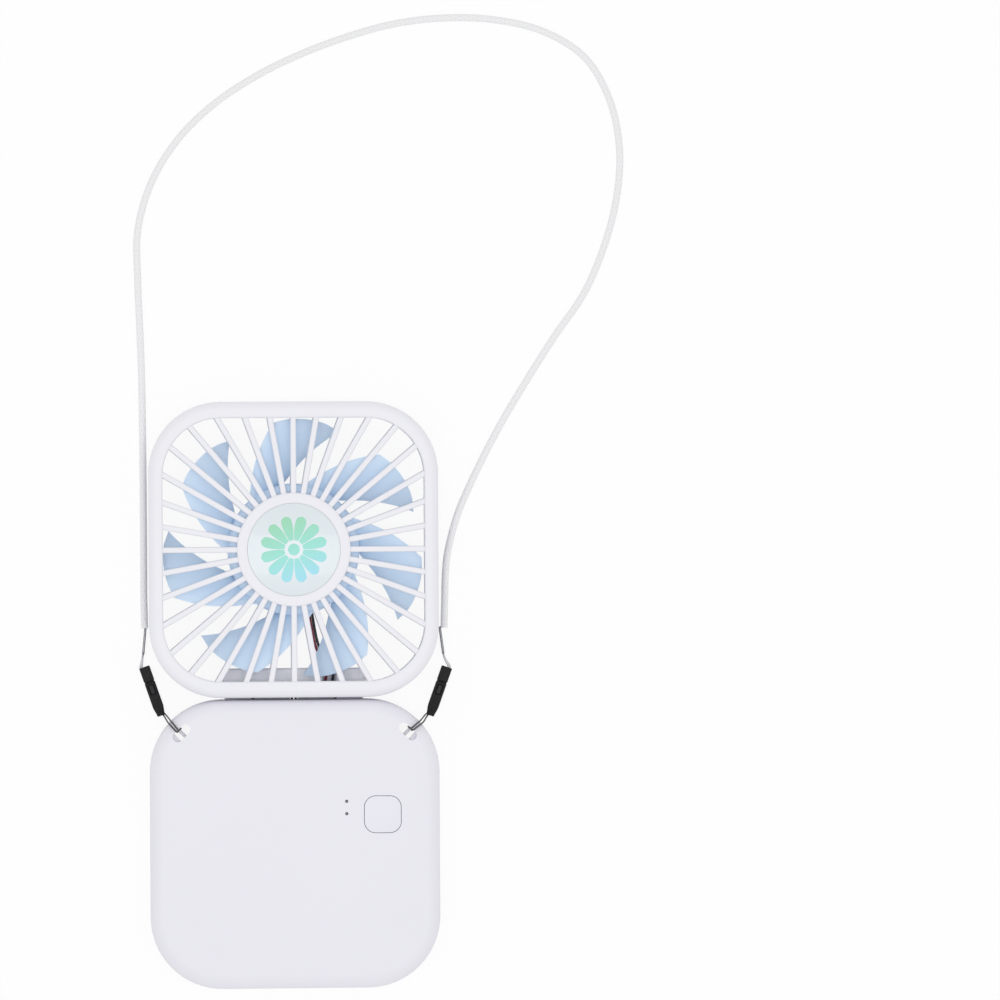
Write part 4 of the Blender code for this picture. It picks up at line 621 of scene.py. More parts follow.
base_screws = ((0.0365, 0.0220), (0.0365, -0.0360), (-0.0365, 0.0220), (-0.0365, -0.0360))
screw_boss = 0.0027
screw_well, screw_well_lip, screw_well_edge = 0.0019, 0.0002, 0.00015
screw_hole, screw_well_depth = 0.0011, 0.0014
base_seam_y = 0.0471
hinge_z = 0.0024
hinge_recess, hinge_recess_half = 0.0039, 0.0133
liner_half, liner_wall, liner_gap = 0.0146, 0.0013, 0.0003
knuckle_inner, knuckle_outer = 0.0139, 0.0225
knuckle_radius, knuckle_inset = 0.0023, 0.00015
knuckle_root, knuckle_foot = 0.0028, 0.0001
pin_bore, bore_start = 0.0011, 0.0130
passage_half, passage_rise, passage_depth = 0.0014, 0.00135, 0.0023


def ring_at(half, inset, z, centre_y, steps=16):
    """The rounded outline of a half of the fan at a height, moved in by inset."""
    outline = rounded_outline(half[0] - inset, half[1] - inset, corner_radius - inset, (0, centre_y), steps)
    return [Vector((x, y, z)) for x, y in outline]


def quarter_turn(steps):
    """Even angles over a quarter of a turn."""
    return [pi / 2 * k / steps for k in range(steps + 1)]


def soft_edge(face, radius, way, start=0, steps=8):
    """(inset, height) points of a round edge, from the side wall over to the face."""
    return [(start + radius * (1 - cos(a)), face - way * radius * (1 - sin(a))) for a in quarter_turn(steps)]


def turned_rings(profile, centre, steps):
    """Rings of points for a turned shape, from its (radius, height) profile."""
    turns = [2 * pi * k / steps for k in range(steps)]
    return [[Vector((centre[0] + r * cos(a), centre[1] + r * sin(a), z)) for a in turns] for r, z in profile]


def slot_axes(way):
    """The directions along a slot and across it, on the left (-1) or the right (1)."""
    return Vector((-way, 1, 0)).normalized(), Vector((way, 1, 0)).normalized()


def slot_ring(way, z, grow=0.0, steps=12):
    """The slot's outline at a height; it lies along the corner and widens towards the back."""
    radius = slot_width / 2 + slot_flare * (front_z - z) / front_z + grow
    long_axis, short_axis = slot_axes(way)
    points = []
    for end in (1, -1):
        for k in range(steps + 1):
            angle = (0 if end > 0 else pi) - pi / 2 + pi * k / steps
            shift = long_axis * (end * (slot_long - slot_width) / 2 + radius * cos(angle))
            shift += short_axis * radius * sin(angle)
            points.append(Vector((way * slot_centre[0] + shift.x, base_y + slot_centre[1] + shift.y, z)))
    return points


def tray(part, face, way, edge, wall):
    """One cover of the base: outside from the parting line over to the face, and inside back again."""
    outer = [(parting_edge, part), (0, part + way * parting_edge)] + soft_edge(face, edge, way)
    inner = [(wall, part)] + soft_edge(face - way * wall, max(edge - wall, wall / 2), way, wall, 4)
    bm = bmesh.new()
    add_skin(bm, [ring_at(base_half, inset, z, base_y) for inset, z in outer[::-1] + inner])
    return bm


def rod_rings(start, end, radius, steps=24):
    """The two end rings of a round rod."""
    start, end = Vector(start), Vector(end)
    turn = (end - start).to_track_quat("Z", "Y")
    angles = [2 * pi * k / steps for k in range(steps)]
    ring = [turn @ Vector((radius * cos(a), radius * sin(a), 0)) for a in angles]
    return [[start + p for p in ring], [end + p for p in ring]]


def box_rings(low, high):
    """The lower and the upper ring of a box between two corners."""
    corners = ((low[0], low[1]), (high[0], low[1]), (high[0], high[1]), (low[0], high[1]))
    return [[Vector((x, y, z)) for x, y in corners] for z in (low[2], high[2])]


white_shell = moulded("white_shell", paint(236, 235, 243), 0.5, grain_depth=0.000005, shade=0.985)
front_low = base_split + parting_gap
front_mesh = mesh_from("base_face_shell", tray(front_low, front_z, 1, base_front_edge, face_wall))
replaced = ["base_front_cover"]
front_shell = mounted("base_face_shell", front_mesh, white_shell, "base", replaced)
pillars = bmesh.new()
for way in (-1, 1):
    add_skin(pillars, [slot_ring(way, z, slot_wall) for z in (front_low, front_z - face_wall + rib_root)])
carve(front_shell, pillars, "UNION")
holes = bmesh.new()
for way in (-1, 1):
    add_skin(holes, [slot_ring(way, z) for z in (front_low - overrun, front_z + overrun)])
hole_floor, hole_rim, hole_top = front_z - hole_depth, front_z - hole_lip, front_z + hole_lip
for x, y in light_holes:
    radius = light_hole_radius
    profile = [(radius, hole_floor), (radius, hole_rim), (radius + hole_lip, hole_top)]
    add_skin(holes, turned_rings(profile, (x, base_y + y), 24))
button_opening = []
for grow, z in ((0, hole_floor), (0, hole_rim), (button_lip, hole_top)):
    half, corner = button_half + button_groove + grow, button_corner + button_groove + grow
    outline = rounded_outline(half, half, corner, (button_centre[0], base_y + button_centre[1]), 10)
    button_opening.append([Vector((x, y, z)) for x, y in outline])
add_skin(holes, button_opening)
socket = rounded_outline(*socket_half, socket_corner, socket_centre, 8)
socket_ends = (base_y - base_half[1] - overrun, base_y - base_half[1] + socket_depth)
add_skin(holes, [[Vector((x, y, z)) for x, z in socket] for y in socket_ends])
carve(front_shell, holes)
bars = bmesh.new()
for way in (-1, 1):
    long_axis, short_axis = slot_axes(way)
    middle = Vector((way * slot_centre[0], base_y + slot_centre[1], 0))
    section = rounded_outline(*bar_half, bar_edge, steps=4)
    bar_ends = [middle + short_axis * reach + Vector((0, 0, bar_height)) for reach in (-bar_reach, bar_reach)]
    add_skin(bars, [[end + long_axis * x + Vector((0, 0, z)) for x, z in section] for end in bar_ends])
    far, near = -slot_long / 2 - sill_root, -slot_long / 2 + sill_depth
    corners = ((far, -sill_half), (near, -sill_half), (near, sill_half), (far, sill_half))
    flat = [middle + long_axis * x + short_axis * y for x, y in corners]
    sill = [[corner + Vector((0, 0, z)) for corner in flat] for z in sill_heights]
    add_skin(bars, sill)
carve(front_shell, bars, "UNION")

rear_high = base_split - parting_gap
rear_mesh = mesh_from("base_back_shell", tray(rear_high, 0, -1, base_back_edge, base_wall))
rear_shell = mounted("base_back_shell", rear_mesh, white_shell, "base", ["base_rear_cover"])
inside = bmesh.new()
for way in (-1, 1):
    add_skin(inside, [slot_ring(way, z, slot_wall) for z in (base_wall - rib_root, rear_high)])
for x, y in base_screws:
    profile = [(screw_boss, base_wall - rib_root), (screw_boss, rear_high)]
    add_skin(inside, turned_rings(profile, (x, base_y + y), 24))
carve(rear_shell, inside, "UNION")
base_top = base_y + base_half[1]
liner_y = base_y + base_seam_y - hinge_recess - liner_wall
liner = bmesh.new()
liner_far = (liner_half, base_top - rib_root, rear_high - liner_gap)
add_skin(liner, box_rings((-liner_half, liner_y, base_wall / 3), liner_far))
carve(rear_shell, liner, "UNION")
for way in (-1, 1):
    knuckle = bmesh.new()
    ends = [(way * x, seam_y, hinge_z) for x in (knuckle_inner, knuckle_outer)]
    add_skin(knuckle, rod_rings(*ends, knuckle_radius, 40))
    carve(rear_shell, knuckle, "UNION")
    foot = bmesh.new()
    x0, x1 = sorted((way * (knuckle_inner + knuckle_inset), way * (knuckle_outer - knuckle_inset)))
    add_skin(foot, box_rings((x0, base_top - knuckle_root, knuckle_foot), (x1, seam_y, hinge_z)))
    carve(rear_shell, foot, "UNION")
    bore = bmesh.new()
    ends = [(way * x, seam_y, hinge_z) for x in (bore_start, knuckle_outer - knuckle_inset)]
    add_skin(bore, rod_rings(*ends, pin_bore, 24))
    carve(rear_shell, bore)
cuts = bmesh.new()
ends = [(x, seam_y, hinge_z) for x in (-hinge_recess_half, hinge_recess_half)]
add_skin(cuts, rod_rings(*ends, hinge_recess, 40))
for way in (-1, 1):
    add_skin(cuts, [slot_ring(way, z) for z in (-overrun, rear_high + overrun)])
for x, y in base_screws:
    profile = [(screw_well + screw_well_lip, -overrun)]
    profile += [(screw_well, screw_well_edge), (screw_well, screw_well_depth)]
    profile += [(screw_hole, screw_well_depth), (screw_hole, rear_high + overrun)]
    add_skin(cuts, turned_rings(profile, (x, base_y + y), 24))
carve(rear_shell, cuts)
passage = bmesh.new()
passage_near = (-passage_half, liner_y - overrun, hinge_z - passage_rise)
passage_far = (passage_half, liner_y + passage_depth, hinge_z + passage_rise)
add_skin(passage, box_rings(passage_near, passage_far))
carve(rear_shell, passage)
for shell in (front_shell, rear_shell):
    smoothed(shell.data, 32)

# Power button: a square white ABS cap with round corners, level with the face in a fine groove.
# A flange behind the face keeps it in, and it is a touch smoother and colder white than the shell.

cap_edge = 0.00015
flange_half, flange_corner, flange_thick = 0.0072, 0.0048, 0.0009
flange_gap = 0.0003
stem_radius, stem_length, stem_root = 0.0015, 0.0021, 0.0006
white_cap = moulded("white_cap", paint(233, 233, 242), 0.42, grain_depth=0.000003, shade=0.99)
flange_top = front_z - face_wall - flange_gap
rows = [(flange_half, flange_corner, flange_top - flange_thick), (flange_half, flange_corner, flange_top)]
rows.append((button_half, button_corner, flange_top))
for angle in quarter_turn(5):
    shift = cap_edge * (1 - cos(angle))
    rows.append((button_half - shift, button_corner - shift, front_z - cap_edge * (1 - sin(angle))))
button_middle = (button_centre[0], base_y + button_centre[1])
cap = bmesh.new()
cap_loops = []
for half, corner, z in rows:
    outline = rounded_outline(half, half, corner, button_middle, 10)
    cap_loops.append([Vector((x, y, z)) for x, y in outline])
add_skin(cap, cap_loops)
stem = [(stem_radius, flange_top - stem_length), (stem_radius, flange_top - stem_root)]
add_skin(cap, turned_rings(stem, button_middle, 24))
cap_mesh = mesh_from("square_button_cap", cap)
mounted("square_button_cap", cap_mesh, white_cap, "button", ["power_button"])

# Light guide: one clear moulding behind the face, with two smoked pins that fill the small holes.
# The lights themselves sit on the circuit board below it.

guide_low, guide_high = (0.0150, 0.0081, 0.0107), (0.0182, 0.0157)
guide_gap = 0.0003
pin_radius, pin_tip = 0.0004, 0.00025
pin_foot, pin_shoulder, pin_depth = 0.0150, 0.00035, 0.0002
smoked_pin = moulded("smoked_pin", paint(96, 95, 103), 0.25, grain_depth=0.000002, shade=0.9, coat=0.4)
guide = bmesh.new()
guide_near = (guide_low[0], base_y + guide_low[1], guide_low[2])
guide_far = (guide_high[0], base_y + guide_high[1], front_z - face_wall - guide_gap)
add_skin(guide, box_rings(guide_near, guide_far))
for x, y in light_holes:
    profile = [(pin_radius, pin_foot), (pin_radius, front_z - pin_shoulder), (pin_tip, front_z - pin_depth)]
    add_skin(guide, turned_rings(profile, (x, base_y + y), 20))
guide_mesh = mesh_from("light_guide_pins", guide)
mounted("light_guide_pins", guide_mesh, smoked_pin, "base", ["light_guide"])

# Fan head, front: one white ABS moulding with a soft rim, 36 straight spokes and the badge's ring.
# It drops over the rear grille and is held by four small screws from behind.

head_y = 0.0471
head_half = (0.0469, 0.0479)
head_back = 0.0051
head_split = 0.0101
head_front_edge = 0.0026
head_wall = 0.0016
opening_half = (0.0469, 0.0472)
front_rim, front_rim_edge = 0.0046, 0.0006
spoke_count = 36
spoke_width, spoke_thick, spoke_drop, spoke_edge = 0.00185, 0.0014, 0.0005, 0.0004
spoke_into_ring, spoke_into_rim = 0.0008, 0.0012
ring_radius = 0.0184
ring_edge, ring_chamfer = 0.0005, 0.0004
ring_back, ring_shoulder = 0.0022, 0.0018
badge_radius, badge_thick = 0.0150, 0.0009
seat_play, seat_edge, seat_gap = 0.00004, 0.0001, 0.0003


def opening_reach(inset, angle):
    """How far the edge of the round-cornered opening lies from the middle of the head."""
    x, y = abs(cos(angle)), abs(sin(angle))
    across, up, radius = opening_half[0] - inset, opening_half[1] - inset, corner_radius - inset
    flat_x, flat_y = across - radius, up - radius
    if across * y <= flat_y * x:
        return across / x
    if up * x <= flat_x * y:
        return up / y
    middle = flat_x * x + flat_y * y
    return middle + (middle**2 - flat_x**2 - flat_y**2 + radius**2) ** 0.5


def out_and_side(angle):
    """The direction outwards at an angle, and the one to its left."""
    return Vector((cos(angle), sin(angle), 0)), Vector((-sin(angle), cos(angle), 0))


def add_spoke_set(bm, rim, low, high, softness):
    """All spokes of a grille, each a straight bar with softened edges that runs into ring and rim."""
    section = rounded_outline(spoke_width / 2, (high - low) / 2, softness, (0, (low + high) / 2), 4)
    hub = Vector((0, head_y, 0))
    for k in range(spoke_count):
        angle = 2 * pi * k / spoke_count
        out, side = out_and_side(angle)
        ends = (ring_radius - spoke_into_ring, opening_reach(rim, angle) + spoke_into_rim)
        add_skin(bm, [[hub + out * r + side * s + Vector((0, 0, z)) for s, z in section] for r in ends])


def edge_over(radius, top, edge, steps):
    """(radius, height) points of a round edge, from the side of a turned piece over to its face."""
    return [(radius - edge * (1 - cos(a)), top - edge * (1 - sin(a))) for a in quarter_turn(steps)]


def edge_down(start, way, edge):
    """(inset or radius, height) points of a round edge, from the front face down into an opening."""
    return [(start + way * edge * (1 - sin(a)), front_z - edge * (1 - cos(a))) for a in quarter_turn(5)]


def rim_rings(outside, opening, inner_heights):
    """The rings of a grille's rim: down its outside, up its opening and back along the inside of its wall."""
    rings = [ring_at(head_half, inset, z, head_y) for inset, z in outside]
    rings += [ring_at(opening_half, inset, z, head_y) for inset, z in opening]
    return rings + [ring_at(head_half, head_wall, z, head_y) for z in inner_heights]


rim_white = moulded("rim_white", paint(239, 239, 245), 0.46, grain_depth=0.000005, shade=0.985)
front = bmesh.new()
front_lip, front_foot = front_z - face_wall, head_split + parting_gap
outside = [(parting_edge, front_foot), (0, front_foot + parting_edge)]
outside += soft_edge(front_z, head_front_edge, 1, steps=10)
opening = edge_down(front_rim, -1, front_rim_edge) + [(front_rim, front_lip)]
add_skin(front, rim_rings(outside, opening, (front_lip, front_foot)), ring=True)
add_spoke_set(front, front_rim, front_z - spoke_drop - spoke_thick, front_z - spoke_drop, spoke_edge)
seat = badge_radius + seat_play
ring_profile = [(ring_radius - ring_chamfer, front_z - ring_back), (ring_radius, front_z - ring_shoulder)]
ring_profile += edge_over(ring_radius, front_z, ring_edge, 5) + edge_down(seat, 1, seat_edge)
ring_profile.append((seat, front_z - badge_thick - seat_gap))
add_skin(front, turned_rings(ring_profile, (0, head_y), 96))
front_mesh = mesh_from("front_grille_shell", front)
mounted("front_grille_shell", front_mesh, rim_white, "head", ["front_grille"])

# Badge: a pale glossy disc pressed into the ring, with a printed flower of twelve straight petals.
# The print runs from soft green at the upper left to cyan at the lower right.

badge_edge = 0.00012
print_half_thick = 0.00002
petal_count, petal_stations = 12, 14
petal_start, petal_length = 0.0030, 0.0080
petal_least, petal_root, petal_swell = 0.00002, 0.0004, 0.0013
petal_round_share = 0.2
petal_wave_start_share, petal_wave_share = 0.06, 0.62
print_dot = 0.0019
print_height = 0.022
pale_badge = moulded("pale_badge", paint(224, 232, 237), 0.3, grain_depth=0.000001, shade=0.98, coat=0.2)
disc = bmesh.new()
disc_profile = [(badge_radius, front_z - badge_thick)] + edge_over(badge_radius, front_z, badge_edge, 4)
add_skin(disc, turned_rings(disc_profile, (0, head_y), 96))
mounted("badge_disc", mesh_from("badge_disc", disc), pale_badge, "head", ["centre_badge"])


def petal_half(share):
    """Half the width of a petal, a share of the way along it: it swells, and its end is round."""
    into_end = max(0, share - (1 - petal_round_share)) / petal_round_share
    roundness = max(0, 1 - into_end**2) ** 0.5
    wave = sin(pi * (share * petal_wave_share + petal_wave_start_share))
    return (petal_root + petal_swell * wave) * roundness + petal_least


flower = bmesh.new()
print_low, print_high = front_z - print_half_thick, front_z + print_half_thick
for k in range(petal_count):
    out, side = out_and_side(2 * pi * (k + 0.5) / petal_count)
    shares = [n / petal_stations for n in range(petal_stations + 1)]
    shape = []
    for way, run in ((1, shares), (-1, shares[::-1])):
        for share in run:
            spot = Vector((0, head_y, 0)) + out * (petal_start + petal_length * share)
            shape.append(spot - side * way * petal_half(share))
    add_skin(flower, [[p + Vector((0, 0, z)) for p in shape] for z in (print_low, print_high)])
add_skin(flower, turned_rings([(print_dot, print_low), (print_dot, print_high)], (0, head_y), 48))
print_ink, tree, shader = new_finish("printed_ink", roughness=0.3)
place = axes_of(tree, "Object")
slope = calc(tree, "SUBTRACT", calc(tree, "MULTIPLY", place["X"], 0.35), place["Y"])
slope = scaled(tree, calc(tree, "ADD", slope, head_y), 1 / print_height, 0.5)
ramp = tree.nodes.new("ShaderNodeValToRGB")
ramp.color_ramp.elements[0].color = paint(138, 210, 168)
ramp.color_ramp.elements[1].color = paint(146, 218, 238)
middle_stop = ramp.color_ramp.elements.new(0.55)
middle_stop.color = paint(140, 222, 208)
tree.links.new(slope, ramp.inputs["Fac"])
screen = calc(tree, "MULTIPLY", speckle(tree, 2500, 2), 0.12)
tinted(tree, shader, screen, ramp.outputs["Color"], paint(236, 246, 246))
mounted("badge_flower_print", mesh_from("badge_flower_print", flower), print_ink, "head")

# Impeller: a pale blue moulding, a hub cup with seven blades that are pitched and swept forwards.
# It is pushed onto the motor's shaft; its blades thin out towards soft, round tips.

hub_radius, hub_height, hub_gap, hub_edge = 0.0214, 0.0065, 0.0007, 0.0016
tip_radius = 0.0424
hub_top = front_z - ring_back - hub_gap
hub_bottom = hub_top - hub_height
cup_wall, shaft_bore, shaft_boss = 0.0013, 0.0013, 0.0030
boss_depth, bore_depth = 0.0033, 0.0010
blade_count = 7
blade_first = radians(50.0)
blade_chord, blade_tip_chord = radians(33.0), radians(30.5)
blade_sweep, sweep_power = radians(33.0), 0.7
blade_root = 0.0005
blade_above, blade_below = 0.0007, 0.0009
blade_camber_share = 0.16
blade_half_thick, blade_edge_share, blade_edge_rise = 0.0005, 0.35, 4
blade_stations, chord_steps = 16, 14
tip_shares = (0.965, 0.99, 1.0, 1.0, 0.995, 0.98)


def smooth_share(values, v):
    """A value on the smooth line through evenly spaced values."""
    spot = v * (len(values) - 1)
    k = min(int(spot), len(values) - 2)
    before, after = max(k - 1, 0), min(k + 2, len(values) - 1)
    return smooth_between(values[before], values[k], values[k + 1], values[after], spot - k)


def blade_point(first, u, v, lift):
    """A point on a blade, a share u of the way from hub to tip and a share v of the way across it."""
    root = hub_radius - blade_root
    radius = root + (tip_radius * smooth_share(tip_shares, v) - root) * u
    chord = blade_chord + (blade_tip_chord - blade_chord) * u
    angle = first - blade_sweep * u**sweep_power + chord * v
    low, high = hub_bottom + blade_above, hub_top - blade_below
    height = low + (high - low) * v + blade_camber_share * (high - low) * 4 * v * (1 - v)
    return Vector((radius * cos(angle), head_y + radius * sin(angle), height + lift))


blue_blades = moulded("blue_blades", paint(213, 234, 255), 0.42, grain_depth=0.000004, shade=0.985)
fan = bmesh.new()
chord = [(1 - cos(pi * n / chord_steps)) / 2 for n in range(chord_steps + 1)]
thick = [blade_half_thick * min(1, blade_edge_share + blade_edge_rise * min(v, 1 - v)) for v in chord]
for k in range(blade_count):
    first = blade_first + 2 * pi * k / blade_count
    loops = []
    for station in range(blade_stations + 1):
        u = station / blade_stations
        under = [blade_point(first, u, v, -t) for v, t in zip(chord, thick)]
        over = [blade_point(first, u, v, t) for v, t in zip(reversed(chord), reversed(thick))]
        loops.append(under + over)
    add_skin(fan, loops)
cup = edge_over(hub_radius, hub_top, hub_edge, 6)[::-1]
cup += [(hub_radius, hub_bottom), (hub_radius - cup_wall, hub_bottom)]
cup += [(hub_radius - cup_wall, hub_top - cup_wall), (shaft_boss, hub_top - cup_wall)]
cup += [(shaft_boss, hub_top - boss_depth)]
cup += [(shaft_bore, hub_top - depth) for depth in (boss_depth, bore_depth)]
add_skin(fan, turned_rings(cup, (0, head_y), 96))
fan_mesh = mesh_from("blue_impeller", fan)
mounted("blue_impeller", fan_mesh, blue_blades, "rotor", ["impeller"], 50)

# Fan head, back: the second white moulding, with its own spokes, the plate that carries the motor,
# the boss that leads the wires to the hinge, and the hinge's middle knuckle.

head_seam = head_y - 0.0483
rear_rim, rear_rim_edge = 0.0043, 0.0004
head_back_edge = 0.0018
rear_spoke_edge = 0.0003
plate_thick, plate_edge = 0.0018, 0.0004
plate_well, plate_well_floor, plate_middle = 0.0037, 0.0008, 0.0004
head_screw_from_wall = 0.0015
screw_reach = (corner_radius - head_wall - head_screw_from_wall) * 2**-0.5
head_screw_well, head_screw_lip, head_screw_seat = 0.0012, 0.0001, 0.0008
head_screw_hole, head_screw_top = 0.0009, 0.0081
well_half, well_back, well_top = 0.0014, 0.0033, 0.0063
well_front = head_y - 0.0449
middle_knuckle = ((-0.0130, -0.0012), (0.0012, 0.0130))
web_inset, web_near, web_far, web_top = 0.0003, 0.0012, 0.0023, 0.0062
channel_left, channel_right = 0.0091, 0.0138
boss_half = 0.0232
boss_low, boss_high, boss_edge = 0.0054, 0.0071, head_y - 0.0386
boss_wall, boss_turn = head_y - 0.0471, head_y - 0.0464
channel_near, channel_floor = head_y - 0.0432, 0.0058
boss_step = 0.00003
rear_white = moulded("rear_white", paint(232, 232, 242), 0.5, grain_depth=0.000006, shade=0.98)
rear_top, back_lip = head_split - parting_gap, head_back + head_wall
outside = [(parting_edge, rear_top), (0, rear_top - parting_edge)] + soft_edge(head_back, head_back_edge, -1)
opening = [(rear_rim - rear_rim_edge, head_back), (rear_rim, head_back + rear_rim_edge), (rear_rim, back_lip)]
rear = bmesh.new()
add_skin(rear, rim_rings(outside, opening, (back_lip, rear_top)), ring=True)
rear_mesh = mesh_from("rear_grille_shell", rear)
replaced = ["rear_grille"]
rear_grille = mounted("rear_grille_shell", rear_mesh, rear_white, "head", replaced)
well = bmesh.new()
well_near = (-well_half, head_seam - well_back, -overrun)
add_skin(well, box_rings(well_near, (well_half, well_front, well_top)))
for sx in (-1, 1):
    for sy in (-1, 1):
        x = sx * (head_half[0] - corner_radius + screw_reach)
        y = sy * (head_half[1] - corner_radius + screw_reach)
        screw_seat = head_back + head_screw_seat
        profile = [(head_screw_well + head_screw_lip, head_back - overrun)]
        profile += [(head_screw_well, head_back + head_screw_lip), (head_screw_well, screw_seat)]
        profile += [(head_screw_hole, screw_seat), (head_screw_hole, head_screw_top)]
        add_skin(well, turned_rings(profile, (x, head_y + y), 20))
carve(rear_grille, well)
more = bmesh.new()
rear_spoke_low = head_back + spoke_drop
add_spoke_set(more, rear_rim, rear_spoke_low, rear_spoke_low + spoke_thick, rear_spoke_edge)
well_floor = head_back + plate_well_floor
plate = [(ring_radius - plate_edge, head_back), (ring_radius, head_back + plate_edge)]
plate += [(ring_radius, head_back + plate_thick), (plate_well, head_back + plate_thick)]
plate += [(plate_well, well_floor), (plate_middle, well_floor)]
add_skin(more, turned_rings(plate, (0, head_y), 96))
for x0, x1 in middle_knuckle:
    ends = (x0, head_seam, hinge_z), (x1, head_seam, hinge_z)
    rod, bore = rod_rings(*ends, knuckle_radius, 40), rod_rings(*ends, pin_bore, 40)
    add_skin(more, [bore[0], rod[0], rod[1], bore[1]], ring=True)
    web0, web1 = (x0 + web_inset, x1) if x0 < 0 else (x0, x1 - web_inset)
    add_skin(more, box_rings((web0, head_seam + web_near, hinge_z), (web1, head_seam + web_far, web_top)))
for low_corner, high_corner in (
    ((-boss_half, boss_wall, boss_low), (-well_half, boss_edge, boss_high)),
    ((-well_half, channel_near, boss_low), (channel_left, boss_edge, boss_high)),
    ((-well_half, boss_wall, well_top), (well_half, boss_turn, boss_high)),
    ((well_half, boss_wall, boss_low), (boss_half, boss_turn, boss_high)),
    ((channel_right, boss_turn, boss_low), (boss_half, boss_edge, boss_high)),
    ((well_half, boss_turn, boss_low + boss_step), (channel_right, boss_edge, channel_floor)),
):
    add_skin(more, box_rings(low_corner, high_corner))
extra = mesh_from("extra", more)
joined = bmesh.new()
joined.from_mesh(rear_grille.data)
joined.from_mesh(extra)
joined.to_mesh(rear_grille.data)
joined.free()
bpy.data.meshes.remove(extra)
smoothed(rear_grille.data, 35)

# Wire cover: a thin grey-white plate laid over the boss, with a window where the wires drop in.
# Seen from the front it is the grey block between the lowest spokes.

cover_half = 0.0229
cover_low, cover_high = 0.0074, 0.0080
cover_near, cover_far = head_y - 0.0460, head_y - 0.0389
window_near, window_far = head_y - 0.0433, head_y - 0.0401
cover_grey = moulded("cover_grey", paint(250, 250, 255), 0.5, grain_depth=0.000006, shade=0.985)
cover = bmesh.new()
outer = box_rings((-cover_half, cover_near, cover_low), (cover_half, cover_far, cover_high))
window = box_rings((channel_left, window_near, cover_low), (channel_right, window_far, cover_high))
add_skin(cover, [*outer, *window[::-1]], ring=True)
cover_mesh = mesh_from("wire_cover_plate", cover)
mounted("wire_cover_plate", cover_mesh, cover_grey, "head", ["wire_cover"])

# Wires: one red and one black lead with soft insulation, 0.9 mm thick, from the motor to the hinge
# and from the hinge to the circuit board, and a shorter pair from the battery cell.

wire_radius = 0.00045
wire_spacing = 0.0007
head_routes = {
    "red": (
        (0.00385, -0.01645, 0.00775),
        (0.00492, -0.0205, 0.00775),
        (0.00652, -0.0293, 0.00775),
        (0.00840, -0.0352, 0.0076),
        (0.01010, -0.0386, 0.0069),
        (0.01035, -0.0420, 0.0066),
        (0.00930, -0.0439, 0.0065),
        (0.00760, -0.04415, 0.00645),
        (0.00420, -0.04415, 0.00645),
        (0.00110, -0.0443, 0.00645),
        (-0.00045, -0.0451, 0.0060),
        (-0.00060, -0.0463, 0.0050),
        (-0.00060, -0.0474, 0.0041),
        (-0.00060, -0.0486, 0.0027),
    ),
    "black": (
        (0.00495, -0.01615, 0.00775),
        (0.00586, -0.0203, 0.00775),
        (0.00743, -0.0291, 0.00775),
        (0.00955, -0.0350, 0.0076),
        (0.01200, -0.0384, 0.0069),
        (0.01265, -0.0420, 0.0066),
        (0.01130, -0.0449, 0.0065),
        (0.00820, -0.04545, 0.00645),
        (0.00480, -0.04545, 0.00645),
        (0.00220, -0.04545, 0.00645),
        (0.00130, -0.0456, 0.00640),
        (0.00070, -0.0461, 0.0059),
        (0.00060, -0.0468, 0.0050),
        (0.00060, -0.0476, 0.0040),
        (0.00060, -0.0486, 0.0027),
    ),
}


def fitted(finish, *names):
    """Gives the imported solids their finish."""
    for name in names:
        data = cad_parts[name].data
        data.materials.clear()
        data.materials.append(finish)


insulation = {
    "red": moulded("red_insulation", paint(134, 30, 54), 0.4, grain_depth=0.000004, shade=0.8),
    "black": moulded("black_insulation", paint(34, 36, 44), 0.4, grain_depth=0.000004, shade=0.8),
}
for tone, route in head_routes.items():
    centres = laid_route([(x, head_y + y, z) for x, y, z in route], wire_spacing)
    lead_mesh = cord_mesh(f"motor_lead_{tone}", centres, wire_radius, 14)
    mounted(f"motor_lead_{tone}", lead_mesh, insulation[tone], "head", [f"head_wire_{tone}"])
    fitted(insulation[tone], f"base_wire_{tone}", f"cell_wire_{tone}")

# Screws, pins and bearings: turned and plated steel, brass in the bearing, all behind the covers.
# Only the screw heads in their wells on the back show.

screw_counts = {"head": 4, "base": 4, "board": 2}
plated_steel = drawn_wire("plated_steel", paint(158, 160, 166), 0.28)
turned_brass = drawn_wire("turned_brass", paint(206, 176, 102), 0.32)
for kind, count in screw_counts.items():
    fitted(plated_steel, *(f"{kind}_screw_{k + 1}" for k in range(count)))
fitted(plated_steel, "hinge_pin_left", "hinge_pin_right", "motor_shaft", "shaft_clip", "rotor_yoke")
fitted(turned_brass, "bearing_tube", "bearing_bush")

# Motor: a ring magnet in its steel yoke turns with the hub round a core of stacked steel sheets,
# each of its six teeth wound with enamelled copper wire, on a small round circuit board.

sheet_thick, sheet_groove = 0.0005, 0.00003
wire_turn_depth = 0.00006
bonded_magnet = moulded("bonded_magnet", paint(58, 56, 60), 0.6, grain_depth=0.00001, shade=0.8)
stacked_steel, tree, shader = new_finish("stacked_steel", roughness=0.4, metallic=1)
sheets = calc(tree, "SINE", calc(tree, "MULTIPLY", axes_of(tree, "Object")["Z"], 2 * pi / sheet_thick))
tinted(tree, shader, scaled(tree, sheets, 0.5, 0.5), paint(112, 114, 120), paint(168, 170, 176))
embossed(tree, shader, sheets, sheet_groove)
wound_copper, tree, shader = new_finish("wound_copper", roughness=0.3, metallic=1)
centred = tree.nodes.new("ShaderNodeVectorMath")
centred.operation = "SUBTRACT"
centred.inputs[1].default_value = (0, head_y, 0)
tree.links.new(tree.nodes.new("ShaderNodeTexCoord").outputs["Object"], centred.inputs[0])
turns = texture(tree, "ShaderNodeTexWave", {"Scale": 900}, centred.outputs[0])
turns.wave_type = "RINGS"
